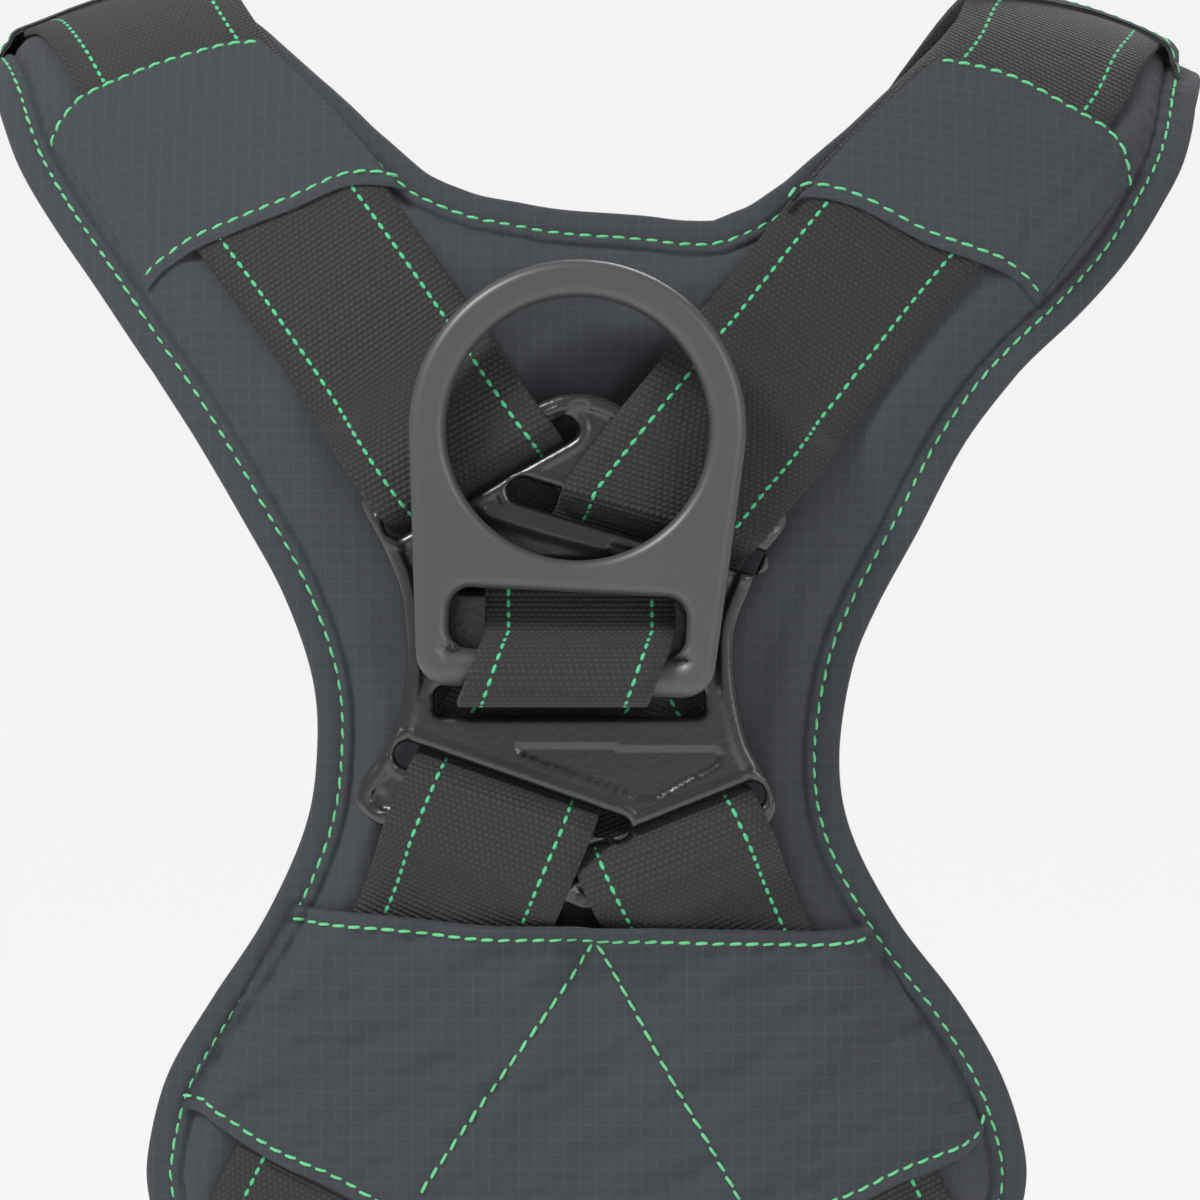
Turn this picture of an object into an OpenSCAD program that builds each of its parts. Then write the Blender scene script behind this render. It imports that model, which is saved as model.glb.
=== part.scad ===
// Full-body climbing harness with a padded dorsal yoke, moulded strap plate and dorsal D-ring.
// Millimetres. Origin: the wearer's torso axis, level with the dorsal ring's hinge bar.
// +Z is up, the back of the harness faces -Y, the wearer looks along +Y.

/* [Webbing] */
// Width of the load webbing
webbing_width = 45; // [40:0.5:50]
// Thickness of the load webbing
webbing_thick = 1.9; // [1.5:0.1:2.4]
// Width of the light riser webbing
riser_width = 25; // [20:1:30]

/* [Back and shoulder pad] */
// Foam core thickness
foam_thick = 9; // [5:0.5:12]
// Thickness of the outer cover cloth
cover_thick = 1.2; // [0.6:0.1:2]
// Thickness of the mesh lining
lining_thick = 1.3; // [0.6:0.1:2]
// How far the edge binding laps onto each face
binding_lap = 6.5; // [4:0.5:9]

/* [Dorsal plate] */
// Moulded plate thickness
plate_thick = 4; // [3:0.5:5]
// Width of the webbing slots
slot_width = 6; // [5:0.5:7]

/* [Dorsal ring] */
// Bore of the dorsal ring
ring_bore = 62; // [55:1:66]
// Thickness of the forged ring
ring_thick = 10; // [8:0.5:10]
// Diameter of the hinge bar
bar_dia = 9; // [8:0.5:10]
// Sideways lean of the ring in degrees
ring_lean = 3; // [0:0.5:4]

/* [Waist belt] */
// Outside width of the waist belt
waist_width = 330; // [300:5:380]
// Outside depth of the waist belt
waist_depth = 230; // [200:5:270]
// Height of the padded belt at the back
belt_height = 108; // [90:2:130]

/* [Leg loops] */
// Outside width of a leg loop
leg_width = 180; // [160:5:186]
// Outside depth of a leg loop
leg_depth = 194; // [170:5:220]
// Outward tilt of the leg loops in degrees
leg_tilt = 12; // [0:1:18]

/* [Hidden] */
$fn = 96;

cloth = [0.24, 0.25, 0.27];
webbing = [0.13, 0.13, 0.13];
forged = [0.36, 0.36, 0.37];
moulded = [0.18, 0.18, 0.19];
mesh_cloth = [0.16, 0.17, 0.18];
tri = 180 / PI;

// ---- Body map: height s is measured up the back, over the shoulder and down the front ----
back_y = -130;
chest_round = 300;
waist_dip = 900;
dip_turn = 130 / waist_dip * tri;
dip_mid = [back_y + waist_dip * (1 - cos(dip_turn)), -20 - waist_dip * sin(dip_turn), -dip_turn];
dip_low = [back_y + 2 * waist_dip * (1 - cos(dip_turn)), -20 - 2 * waist_dip * sin(dip_turn), 0];

function arc_on(p, r, turn) =
    [p[0] + r * (cos(p[2]) - cos(p[2] + turn)), p[1] + r * (sin(p[2] + turn) - sin(p[2])), p[2] + turn];
function ahead(p, run) = [p[0] + run * sin(p[2]), p[1] + run * cos(p[2]), p[2]];

blade = [back_y, 72, 0];
nape = arc_on(blade, 130, 45);
collar = arc_on(nape, 75, 105);
breast = ahead(collar, 90);
sternum = arc_on(breast, 200, 30);
s_nape = 72 + 130 * 45 / tri;
s_collar = s_nape + 75 * 105 / tri;
s_breast = s_collar + 90;
s_sternum = s_breast + 200 * 30 / tri;

function profile(s) =
    s < -280 ? ahead(dip_low, s + 280) :
    s < -150 ? arc_on(dip_low, -waist_dip, -(s + 280) / waist_dip * tri) :
    s < -20 ? arc_on(dip_mid, waist_dip, (s + 150) / waist_dip * tri) :
    s < 72 ? [back_y, s, 0] :
    s < s_nape ? arc_on(blade, 130, (s - 72) / 130 * tri) :
    s < s_collar ? arc_on(nape, 75, (s - s_nape) / 75 * tri) :
    s < s_breast ? ahead(collar, s - s_collar) :
    s < s_sternum ? arc_on(breast, 200, (s - s_breast) / 200 * tri) :
    ahead(sternum, s - s_sternum);

function sag(x) = chest_round - sqrt(chest_round * chest_round - x * x);
function back_skin(x, s) =
    let (p = profile(s), c = cos(p[2]))
    [x, p[0] + c * (0.75 + 0.25 * c) * sag(x), p[1] - sin(p[2]) * x * x / 720];
function unit(v) = v / norm(v);
function body_at(x, s, d) =
    back_skin(x, s) + d * unit(cross(back_skin(x + 0.5, s) - back_skin(x - 0.5, s),
                                   back_skin(x, s + 0.5) - back_skin(x, s - 0.5)));

// ---- Rounded ovals for the waist and the legs: u is the turn from the back, v the height ----
function oval_r(u, a, b, n) = pow(pow(abs(sin(u)) / a, n) + pow(abs(cos(u)) / b, n), -1 / n);
function oval_at(u, a, b, n, d) =
    let (r = oval_r(u, a, b, n), x = r * sin(u), y = -r * cos(u))
    [x, y] + d * unit([sign(x) * pow(abs(x) / a, n - 1) / a, sign(y) * pow(abs(y) / b, n - 1) / b]);

waist_y = 4;
waist_z = -300;
function belt_at(u, v, d) =
    let (p = oval_at(u, waist_width / 2, waist_depth / 2, 2.8, d)) [p[0], p[1] + waist_y, v];

function belt_turn(x, front) = atan2(x, -front * waist_depth / 2 * pow(1 - pow(abs(x) / waist_width * 2,
    2.8), 1 / 2.8));

leg_x = 100;
leg_z = -480;
function leg_at(side, u, v, d) =
    let (p = oval_at(u, leg_width / 2, leg_depth / 2, 2.1, d))
    [side * (leg_x + p[0] * cos(leg_tilt) - v * sin(leg_tilt)), p[1],
     leg_z + p[0] * sin(leg_tilt) + v * cos(leg_tilt)];

// map 0 = torso, 1 = waist, 2 = right leg, 3 = left leg
function put(map, u, v, d) =
    map == 0 ? body_at(u, v, d) : map == 1 ? belt_at(u, v, d) : leg_at(map == 2 ? 1 : -1, u, v, d);

// ---- Curves and thin solids ----
function curve_point(p, i, t) =
    let (n = len(p) - 1, a = p[max(i - 1, 0)], b = p[i], c = p[min(i + 1, n)], e = p[min(i + 2, n)])
    0.5 * (2 * b + (c - a) * t + (2 * a - 5 * b + 4 * c - e) * t * t + (3 * b - a - 3 * c + e) * t * t * t);
function smooth(p, k) =
    concat([for (i = [0:len(p) - 2]) for (j = [0:k - 1]) curve_point(p, i, j / k)], [p[len(p) - 1]]);
function smooth_loop(p, k) =
    let (n = len(p), q = concat([p[n - 1]], p, [p[0], p[1]]))
    [for (i = [1:n]) for (j = [0:k - 1]) curve_point(q, i, j / k)];
function mix(a, b, t) = a + (b - a) * t;
function mirrored(p) = [for (i = [len(p) - 1:-1:0]) [-p[i][0], p[i][1]]];

module solid_between(top, low) {
    n = len(top);
    m = len(top[0]);
    o = n * m;
    points = concat([for (r = top) each r], [for (r = low) each r]);
    faces = concat(
        [for (i = [0:n - 2]) for (j = [0:m - 2]) let (k = i * m + j) each [
            [k, k + m, k + m + 1], [k, k + m + 1, k + 1],
            [o + k, o + k + m + 1, o + k + m], [o + k, o + k + 1, o + k + m + 1]]],
        [for (i = [0:n - 2]) let (k = i * m, e = k + m - 1) each [
            [k, o + k, o + k + m], [k, o + k + m, k + m],
            [e, e + m, o + e + m], [e, o + e + m, o + e]]],
        [for (j = [0:m - 2]) let (e = (n - 1) * m + j) each [
            [j, j + 1, o + j + 1], [j, o + j + 1, o + j],
            [e, o + e, o + e + 1], [e, o + e + 1, e + 1]]]);
    polyhedron(points, faces, convexity = 8);
}

// Sheet between two offsets; rows hold the two edge points, across holds [share, low, high]
module quilt(map, rows, across) {
    function face(h) = [for (r = rows) [for (a = across)
        let (p = mix(r[0], r[1], a[0])) put(map, p[0], p[1], a[h])]];
    solid_between(face(2), face(1));
}

// Strap of even thickness about a grid of centre points
module strap_on(grid, thick) {
    n = len(grid) - 1;
    m = len(grid[0]) - 1;
    lift = [for (i = [0:n]) [for (j = [0:m]) thick / 2 * unit(cross(
        grid[i][min(j + 1, m)] - grid[i][max(j - 1, 0)],
        grid[min(i + 1, n)][j] - grid[max(i - 1, 0)][j]))]];
    solid_between([for (i = [0:n]) [for (j = [0:m]) grid[i][j] + lift[i][j]]],
                  [for (i = [0:n]) [for (j = [0:m]) grid[i][j] - lift[i][j]]]);
}

// Route rows are [x, s, offset, turn of the row, half width]
function strap_rows(route, width, k) =
    let (n = len(route) - 1,
         full = [for (i = [0:n])
             let (a = route[max(i - 1, 0)], b = route[min(i + 1, n)],
                  own = atan2(b[0] - a[0], a[1] - b[1]),
                  turn = len(route[i]) > 3 ? route[i][3] : own)
             [route[i][0], route[i][1], route[i][2], turn, width / 2 / cos(turn - own)]])
    smooth(full, k);
function strap_grid(route, width, k, cols) =
    [for (r = strap_rows(route, width, k)) [for (j = [0:cols])
        let (w = r[4] * (2 * j / cols - 1)) body_at(r[0] + w * cos(r[3]), r[1] + w * sin(r[3]), r[2])]];
function lined(a, b, cols) = [for (i = [0:len(a) - 1]) [for (j = [0:cols]) mix(a[i], b[i], j / cols)]];

// Outline of a webbing path drawn in a plane
function stroke(p, t) =
    let (n = len(p) - 1,
         side = [for (i = [0:n]) let (v = unit(p[min(i + 1, n)] - p[max(i - 1, 0)])) t / 2 * [-v[1], v[0]]])
    concat([for (i = [0:n]) p[i] + side[i]], [for (i = [n:-1:0]) p[i] - side[i]]);
module flat_web(path, width) {
    translate([0, 0, -width / 2]) linear_extrude(width) polygon(stroke(smooth(path, 4), webbing_thick));
}

module round_box(x0, x1, z, r) {
    translate([x0, -z + r]) square([x1 - x0, 2 * z - 2 * r]);
    translate([x0 + r, -z]) square([x1 - x0 - 2 * r, 2 * z]);
    for (x = [x0 + r, x1 - r], y = [-z + r, z - r]) translate([x, y]) circle(r);
}
module slab(y, h) {
    translate([0, y, 0]) rotate([-90, 0, 0]) linear_extrude(h) children();
}
module brick(x0, x1, y0, y1, z0, z1) {
    translate([x0, y0, z0]) cube([x1 - x0, y1 - y0, z1 - z0]);
}

// ---- Back and shoulder pad ----
face_d = 0;
foam_top = -cover_thick;
foam_low = foam_top - foam_thick;
pad_low = foam_low - lining_thick;

// Neck edge and outer edge of each half, paired from the middle of the back to the arm end
neck_right = [[0, 112], [8, 111], [15, 111], [20, 110.5], [24, 110], [27, 110], [29, 110], [31, 110],
    [33, 110.5], [35, 111.5], [37, 112.5], [39, 113.5], [41, 114.5], [43, 116], [46, 118.5], [50, 122],
    [55, 127.5], [60, 133], [66, 140], [74, 151], [82, 163], [91, 181], [99, 212], [102, 250], [84, 300],
    [60, 350], [42, 390], [29, 425], [26, 440], [34, 451]];
outer_right = [[0, -162], [38, -162], [72, -160], [93, -154], [104, -144], [109, -131], [109, -118],
    [103, -99], [92, -80], [77, -60], [66, -39], [63, -21], [66, 0], [72, 15], [82, 33], [94, 55],
    [109, 74], [123, 90], [135, 108], [144, 128], [151, 150], [155, 180], [157, 222], [154, 260],
    [142, 305], [122, 355], [102, 395], [86, 428], [82, 443], [70, 452]];
neck_left = [[0, 112], [8, 113], [15, 114.5], [20, 115.5], [24, 116.5], [27, 117.5], [29, 118.5],
    [31, 119.5], [33, 120.5], [35, 121.5], [37, 123], [39, 125], [41, 127], [43, 129], [46, 132.5],
    [50, 137], [55, 143.5], [60, 150], [66, 158], [74, 170], [82, 184], [89, 198], [97, 222], [102, 254],
    [84, 300], [60, 350], [42, 390], [29, 425], [26, 440], [34, 451]];
outer_left = [[0, -162], [38, -162], [72, -160], [92, -153], [102, -143], [106, -130], [106, -118],
    [101, -99], [90, -80], [77, -60], [67, -38], [64, -20], [65, -2], [72, 18], [82, 36], [94, 56],
    [107, 76], [120, 99], [130, 118], [138, 137], [143, 155], [148, 182], [153, 222], [153, 260],
    [142, 305], [122, 355], [102, 395], [86, 428], [82, 443], [70, 452]];
pad_rows = concat(
    [for (i = [len(neck_left) - 1:-1:1]) [[-neck_left[i][0], neck_left[i][1]], [-outer_left[i][0],
        outer_left[i][1]]]],
    [for (i = [0:len(neck_right) - 1]) [neck_right[i], outer_right[i]]]);
pad_rim = concat([for (r = pad_rows) r[0]], [for (i = [len(pad_rows) - 1:-1:0]) pad_rows[i][1]]);

module pad_layer(low, high) {
    quilt(0, pad_rows, [for (j = [0:6]) [j / 6, low, high]]);
}
module pad_lining() color(mesh_cloth) pad_layer(pad_low, foam_low);
module pad_foam() color([0.3, 0.3, 0.3]) pad_layer(foam_low, foam_top);
module pad_cover() color(cloth) pad_layer(foam_top, face_d);

// Cloth tape folded round the whole rim
module pad_binding() color(cloth) {
    n = len(pad_rim);
    out = [for (i = [0:n - 1]) let (v = unit(pad_rim[(i + 1) % n] - pad_rim[(i + n - 1) % n])) [-v[1], v[0]]];
    ring = [for (q = [[-binding_lap, 0.05], [0.1, 0.05], [0.1, pad_low - 0.05], [-binding_lap,
        pad_low - 0.05],
                      [-binding_lap, pad_low - 0.75], [0.9, pad_low - 0.75], [0.9, 0.75], [-binding_lap,
                          0.75]])
            [for (i = [0:n - 1]) let (p = pad_rim[i] + q[0] * out[i]) body_at(p[0], p[1], q[1])]];
    k = len(ring);
    polyhedron([for (r = ring) each r],
        [for (a = [0:k - 1]) for (i = [0:n - 1])
            let (b = (a + 1) % k, j = (i + 1) % n) each [
            [a * n + i, b * n + j, b * n + i], [a * n + i, a * n + j, b * n + j]]], convexity = 8);
}

// ---- Cloth sleeves over the webbing ----
sleeve_across = [[0, 0.8, 1.7], [0.07, 1.5, 2.5], [0.14, 2.2, 3.2], [0.5, 2.3, 3.3], [0.86, 2.2, 3.2],
    [0.93, 1.5, 2.5], [1, 0.8, 1.7]];
module strap_sleeve(corners, k) {
    quilt(0, [for (i = [0:k]) [mix(corners[0], corners[3], i / k), mix(corners[1], corners[2], i / k)]],
        sleeve_across);
}
module shoulder_sleeve_left() color(cloth) strap_sleeve([[-105, 95], [-43, 117], [-78, 166], [-131, 147]], 6);
module shoulder_sleeve_right() color(cloth) strap_sleeve([[49, 112], [111, 91], [137, 134], [86, 163]], 6);
module top_sleeve_left() color(cloth) strap_sleeve([[-151, 222], [-91, 214], [-93, 276], [-151, 276]], 8);
module top_sleeve_right() color(cloth) strap_sleeve([[91, 195], [150, 193], [151, 256], [93, 250]], 8);

lumbar_top = [[-69, -57], [-62, -57.5], [-50, -58], [-36, -59], [-18, -60], [0, -61], [18, -60.5],
    [36, -60], [50, -59], [62, -58], [70, -58]];
lumbar_low = [[-97, -105], [-88, -110], [-73, -118], [-58, -126], [-40, -138], [0, -151], [40, -138],
    [58, -127], [73, -120], [88, -113], [98, -109]];
lumbar_lifts = [[1, 0.8, 0.8, 0.8, 0.8, 0.8], [4, 1.9, 1.3, 1.2, 1.2, 1.2], [6, 4.4, 2.5, 2.3, 2.3, 2.3]];
lumbar_kinds = [0, 1, 2, 2, 2, 2, 2, 2, 2, 1, 0];
lumbar_shares = [0, 0.12, 0.28, 0.5, 0.75, 1];
function lumbar_face(extra) = [for (i = [0:10]) [for (j = [0:5])
    let (p = mix(lumbar_top[i], lumbar_low[i], lumbar_shares[j]))
    body_at(p[0], p[1], lumbar_lifts[lumbar_kinds[i]][j] + extra)]];
module lumbar_sleeve() color(cloth) solid_between(lumbar_face(1), lumbar_face(0));

// ---- Moulded plate, ring strap and the two crossing straps ----
plate_gap = 6;
plate_face = plate_gap + plate_thick;
plate_outline = [[-8, 64.5], [-2, 66], [4, 65.5], [10, 63], [24, 55], [38, 46], [46, 42], [48.5, 39.5],
    [49, 35.5], [47, 32], [43.5, 27.5], [40, 19], [37, 11], [36.5, 3], [37.5, -7], [40, -17], [45, -26.5],
    [46.5, -31], [46, -34], [43.5, -37], [38, -39.5], [20, -47.5], [8, -54], [3, -56], [-2, -55],
    [-10, -51.5], [-28, -44.5], [-43, -37.5], [-48, -36], [-51.5, -33.5], [-53, -30.5], [-51.5, -25],
    [-46.5, -18.5], [-42.5, -9], [-41, 3], [-41.5, 11.5], [-43, 20.5], [-47, 30], [-51, 37.5], [-52, 41],
    [-50, 44], [-46, 46], [-38, 50], [-22, 58]];
slot_ends = [[[-43.5, 35], [-3.5, 57.5]], [[-14, 43], [42, 26]], [[-41, -19.5], [9, -37]], [[-3, -46.5],
    [41, -29]]];

module back_shell(d0, d1) {
    intersection() {
        translate([0, back_y + chest_round, -80]) difference() {
            cylinder(h = 160, r = chest_round + d1, $fn = 180);
            translate([0, 0, -1]) cylinder(h = 162, r = chest_round + d0, $fn = 180);
        }
        translate([0, back_y + 5, 0]) rotate([90, 0, 0]) linear_extrude(30) children();
    }
}
module slot_shape(a, b, w) {
    v = b - a;
    translate(a) rotate(atan2(v[1], v[0])) {
        translate([0, -w / 2]) square([norm(v), w]);
        circle(w / 2);
        translate([norm(v), 0]) circle(w / 2);
    }
}
module dorsal_plate() color(moulded) {
    back_shell(plate_gap, plate_face) difference() {
        polygon(smooth_loop(plate_outline, 3));
        for (e = slot_ends) slot_shape(e[0], e[1], slot_width);
        translate([-34.5, -10.5]) square([64, 7]);
        translate([-29.5, 19.5]) square([52, 6.5]);
    }
    back_shell(plate_face - 0.5, plate_face + 1) {
        slot_shape([-22, 37.5], [6, 29.5], 1.4);
        polygon([[-16, -16.5], [33, -17], [35, -19.5], [33.5, -22.5], [18, -31], [14, -31], [-16, -18.5]]);
    }
}

bar_x = -3.5;
bar_d = plate_face + 2.5 + ring_thick / 2;
bar_y = back_y - bar_d;

// Rows are [height, offset from the pad face, share of the back's curve]
ring_strap_route = [[10, 4.95, 1], [4, 4.95, 1], [-2, 4.95, 1], [-4.3, 5.3, 1], [-5.8, 6.8, 0.9],
    [-6.2, 9, 0.7], [-6.6, 12, 0.4], [-7.2, 15, 0.1], [-6.9, 18.4, 0], [-5.1, 22, 0], [0, 24.2, 0],
    [5.1, 22, 0], [7.1, 18.3, 0], [9.4, 15.4, 0.1], [13, 12.6, 0.5], [17, 11.3, 0.9], [19, 11.2, 1],
    [21, 10.5, 1], [22.2, 9, 1], [22.3, 7, 1], [21.4, 5.5, 1], [19, 4.95, 1], [15, 4.95, 1],
    [11.5, 4.95, 1]];
module ring_strap() color(webbing) {
    strap_on([for (r = smooth(ring_strap_route, 2)) [for (j = [0:4])
        let (x = bar_x + 0.4 * min(r[0], 9) + webbing_width * (0.5 - j / 4)) [x,
            back_y - r[1] + r[2] * sag(x), r[0]]]], webbing_thick);
}

// Both straps run from the belt front, up over the shoulder and down across the back to the hip
front_low = [[-70, 690, 13], [-61, 668, 8.4], [-57, 654, 6.3], [-56, 642, 6], [-56, 600, 6], [-56, 560, 6],
    [-55, 546, 4], [-52, 528, 1.5], [-48, 500, 1.05], [-47, 470, 1.05], [-51, 440, 1.05], [-66, 395, 1.05],
    [-88, 340, 1.05], [-110, 290, 1.05]];
front_left = concat(front_low, [[-118, 240, 1.05], [-113, 212, 1.05], [-107, 187, 1.05], [-99, 163, 1.05],
    [-84.5, 134, 1.05], [-70, 112, 1.05]]);
over_left = [[-51, 83.5, 1.1], [-43.8, 73, 3], [-38.3, 65.2, 7.6, 31], [-33, 57.6, 11.15, 29.4],
    [-28.4, 50.8, 11.25, 29.4], [-26.3, 48, 10.8, 29.4], [-25, 46.2, 9, 29.4], [-24.4, 45.3, 7, 29.4],
    [-23.8, 44.4, 5, 29.4], [-22.4, 42, 2.8, 29.4], [-19.5, 36.5, 1.2, 29], [-12, 22, 1.05, 28],
    [-2, 3, 1.05, 27], [9, -18, 1.05, 24], [15.3, -29.5, 1.2, 22], [17.6, -33.5, 2.8, 22],
    [18.6, -35.6, 5, 22], [19, -36.6, 7, 22], [19.4, -37.6, 9, 22], [20.2, -39.4, 10.8, 22],
    [21.2, -41.8, 11.25, 22], [23.4, -46.6, 11.15, 22], [25.8, -51.6, 7.4, 23], [28, -56.2, 3.8, 24],
    [30.6, -61.8, 1.8], [34, -69, 1.05], [48, -97, 1.05], [62, -125, 1.05]];
hip_left = [[78, -160, 1.05], [94, -200, 1.2], [101, -225, 0.6]];

front_right = concat([for (r = front_low) [-r[0], r[1], r[2]]], [[123, 240, 1.05], [122, 212, 1.05],
    [117, 188, 1.05], [110, 163, 1.05], [93, 134, 1.05], [75, 110, 1.05]]);
over_right = [[52, 79, 1.3], [44, 69.5, 4], [38, 62, 8.2, -28], [33, 56, 11.1, -24],
    [27, 48.5, 11.25, -19], [19.6, 38.6, 11.25, -16.9], [18.3, 36.6, 10.8, -16.9], [17.4, 35.1, 9, -16.9],
    [17, 34.3, 7, -16.9], [16.6, 33.5, 5.2, -16.9], [15.4, 31, 3.6, -17], [12.6, 26, 3.05, -17.5],
    [6, 12, 3.05, -18], [-4, -4, 3.05, -19], [-13, -19, 3.1, -19.3], [-15.5, -23.6, 3.7, -19.3],
    [-16.6, -26, 5.2, -19.3], [-17, -27.2, 7, -19.3], [-17.4, -28.3, 9, -19.3],
    [-18.1, -30.2, 10.8, -19.3], [-19, -32.5, 11.25, -19.5], [-23.6, -43.6, 11.15, -22],
    [-25.8, -49, 7.6, -22], [-27.8, -53.8, 4, -22], [-30.2, -59.6, 1.9], [-33.4, -66.5, 1.05],
    [-47, -95, 1.05], [-60.5, -122, 1.05]];
hip_right = [for (r = hip_left) [-r[0], r[1], r[2]]];

// Ends sewn flat to the waist belt, below its webbing
function belt_rows(ends, front) = [for (e = ends) [for (j = [0:4])
    let (x = e[0] + webbing_width * (j / 4 - 0.5)) belt_at(belt_turn(x, front), e[1], 1.08)]];
module main_strap(front, over, hip, side) {
    strap_on(concat(belt_rows([for (z = [-318, -304, -290, -276, -266]) [side * 70, z]], 1),
        strap_grid(concat(front, over, hip), webbing_width, 2, 4),
        belt_rows([for (z = [-244, -258, -272, -288, -303, -318]) [side * min(-104, -96 + z / 36), z]],
            -1)), webbing_thick);
}
module main_strap_left() color(webbing) main_strap(front_left, over_left, hip_left, -1);
module main_strap_right() color(webbing) main_strap(front_right, over_right, hip_right, 1);

// ---- Dorsal ring: drawn about its hinge bar ----
ring_up = 57.5;
ring_wall = 8.7;
corner = [27.3, 3.5];
corner_r = 8;
module ring_outline() {
    big = ring_bore / 2 + ring_wall;
    rise = [0, ring_up] - corner;
    lean_in = atan2(rise[1], rise[0]) - acos((corner_r - big) / norm(rise));
    way = [cos(lean_in), sin(lean_in)];
    top = [0, ring_up] + big * way;
    low = corner + corner_r * way;
    translate([0, ring_up]) circle(big, $fn = 180);
    for (s = [-1, 1]) translate([s * corner[0], corner[1]]) circle(corner_r);
    polygon([top, low, [corner[0], corner[1] - corner_r], [-corner[0], corner[1] - corner_r], [-low[0],
        low[1]], [-top[0], top[1]]]);
}
module dorsal_ring() color(forged)
    translate([bar_x, bar_y, 0]) rotate([0, ring_lean, 0]) {
        difference() {
            rotate([90, 0, 0]) linear_extrude(ring_thick, center = true) difference() {
                ring_outline();
                translate([0, ring_up]) circle(ring_bore / 2, $fn = 180);
                translate([-28, -10]) square([56, 24]);
                translate([-23, 5]) square([46, 14]);
                for (s = [-1, 1]) translate([s * 23, 14]) circle(5);
            }
            translate([0, 0, ring_up]) rotate([90, 0, 0]) for (s = [-1, 1]) scale([1, 1, s])
                rotate_extrude($fn = 180) translate([ring_bore / 2 - 1, 0]) difference() {
                    translate([0, 2]) square([4, 4]);
                    translate([4, 2]) circle(3, $fn = 48);
                }
        }
        translate([-30, 0, 0]) rotate([0, 90, 0]) cylinder(h = 60, d = bar_dia);
    }

// ---- Sliders that run along the front of each shoulder strap ----
slider_z = profile(600)[1];
module slider_frame(gap) {
    half = webbing_width / 2 + 0.9;
    for (s = [-1, 1]) {
        slab(-4, 8) translate([s * (half + 2.5), 0]) round_box(-2.5, 2.5, 17, 2.4);
        brick(-half - 1, half + 1, gap, 4, s * 14.5 - 2.5, s * 14.5 + 2.5);
    }
    brick(-half - 1, half + 1, -4, -gap, -3, 3);
}
module shoulder_slider(side) {
    p = body_at(side * 56, 600, 6);
    q = body_at(side * 56.5, 600, 6) - body_at(side * 55.5, 600, 6);
    translate([p[0], p[1], slider_z]) rotate([0, 0, atan2(q[1],
        q[0]) + (side < 0 ? 180 : 0)]) slider_frame(1.6);
}
module shoulder_slider_left() color(forged) shoulder_slider(-1);
module shoulder_slider_right() color(forged) shoulder_slider(1);

// ---- Quick-connect buckle: X runs along the strap, Y outward, Z across ----
buckle_x = -22;
chest_x = -12;
chest_y = 99.8;
chest_z = -20;
chest_size = riser_width / webbing_width;
waist_front = 124.2;
module at_chest() translate([chest_x, chest_y, chest_z]) scale(chest_size) children();
module at_waist() translate([buckle_x, waist_front, waist_z]) children();

module buckle_frame() {
    difference() {
        slab(0, 11) difference() {
            round_box(-52, 0, 31, 6);
            translate([-46.2, -23.8]) square([8.4, 47.6]);
        }
        for (y = [-1, 8]) brick(-53, -46, y, y + 4, -23.8, 23.8);
        brick(-34, 1, 3.1, 7.9, -20.4, 20.4);
        for (s = [-1, 1]) brick(-20, -8, 3, 8, s * 26 - 6, s * 26 + 6);
        slab(10.2, 2) round_box(-30, -4, 16, 4);
    }
}
module buckle_tab() {
    difference() {
        slab(1, 9) difference() {
            round_box(0.6, 38, 31, 6);
            translate([23.8, -23.8]) square([8.4, 47.6]);
        }
        for (y = [0, 8]) brick(32, 39, y, y + 3, -23.8, 23.8);
        slab(9.2, 2) round_box(5, 19, 16, 4);
    }
    slab(3.6, 3.8) round_box(-32, 2, 19.8, 5);
}
module buckle_button(side) brick(-19.5, -8.5, 3.45, 7.55, side < 0 ? -33 : 24, side < 0 ? -24 : 33);
module buckle_pull() {
    flat_web([[128, 1.2], [100, 1.2], [60, 1.2], [39, 1.2], [30, 1.5], [27, 3], [26, 5.5], [27.5, 8],
              [31, 9.6], [37, 9.4], [42, 6.6], [45, 4.2], [48, 3.4], [49.5, 3.35]], webbing_width);
}
module buckle_keeper(low) difference() {
    brick(80.5, 96.5, -low, 5, -28, 28);
    brick(80, 97, -0.3, 2.8, -23.6, 23.6);
}
buckle_hold = [[-62, 3.6], [-57, 4.8], [-52, 8.4], [-46.5, 9.8], [-42.5, 8], [-41.2, 5.5], [-42.2, 3],
    [-46, 1.4], [-54, 1.2]];

module chest_strap_fixed() color(webbing) at_chest() flat_web(concat(buckle_hold, [[-62, -1]],
    [for (x = [-50, -56, -62, -67]) let (p = body_at(x, 497, 2.75)) [p[0] - chest_x,
        p[1] - chest_y] / chest_size]), webbing_width);
module chest_strap_pull() color(webbing) at_chest() buckle_pull();
module chest_keeper() color(forged) at_chest() buckle_keeper(1.3);
module chest_buckle_frame() color(forged) at_chest() buckle_frame();
module chest_buckle_tab() color(forged) at_chest() buckle_tab();
module chest_button_upper() color(moulded) at_chest() buckle_button(1);
module chest_button_lower() color(moulded) at_chest() buckle_button(-1);

module waist_strap_fixed() color(webbing) at_waist() flat_web(concat(buckle_hold, [
    for (u = [-141, -136, -131, -126, -121]) let (p = belt_at(u, 0, 5.5)) [p[0] - buckle_x,
        p[1] - waist_front]]), webbing_width);
module waist_strap_pull() color(webbing) at_waist() buckle_pull();
module waist_keeper() color(forged) at_waist() buckle_keeper(3.3);
module waist_buckle_frame() color(forged) at_waist() buckle_frame();
module waist_buckle_tab() color(forged) at_waist() buckle_tab();
module waist_button_upper() color(moulded) at_waist() buckle_button(1);
module waist_button_lower() color(moulded) at_waist() buckle_button(-1);

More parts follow.
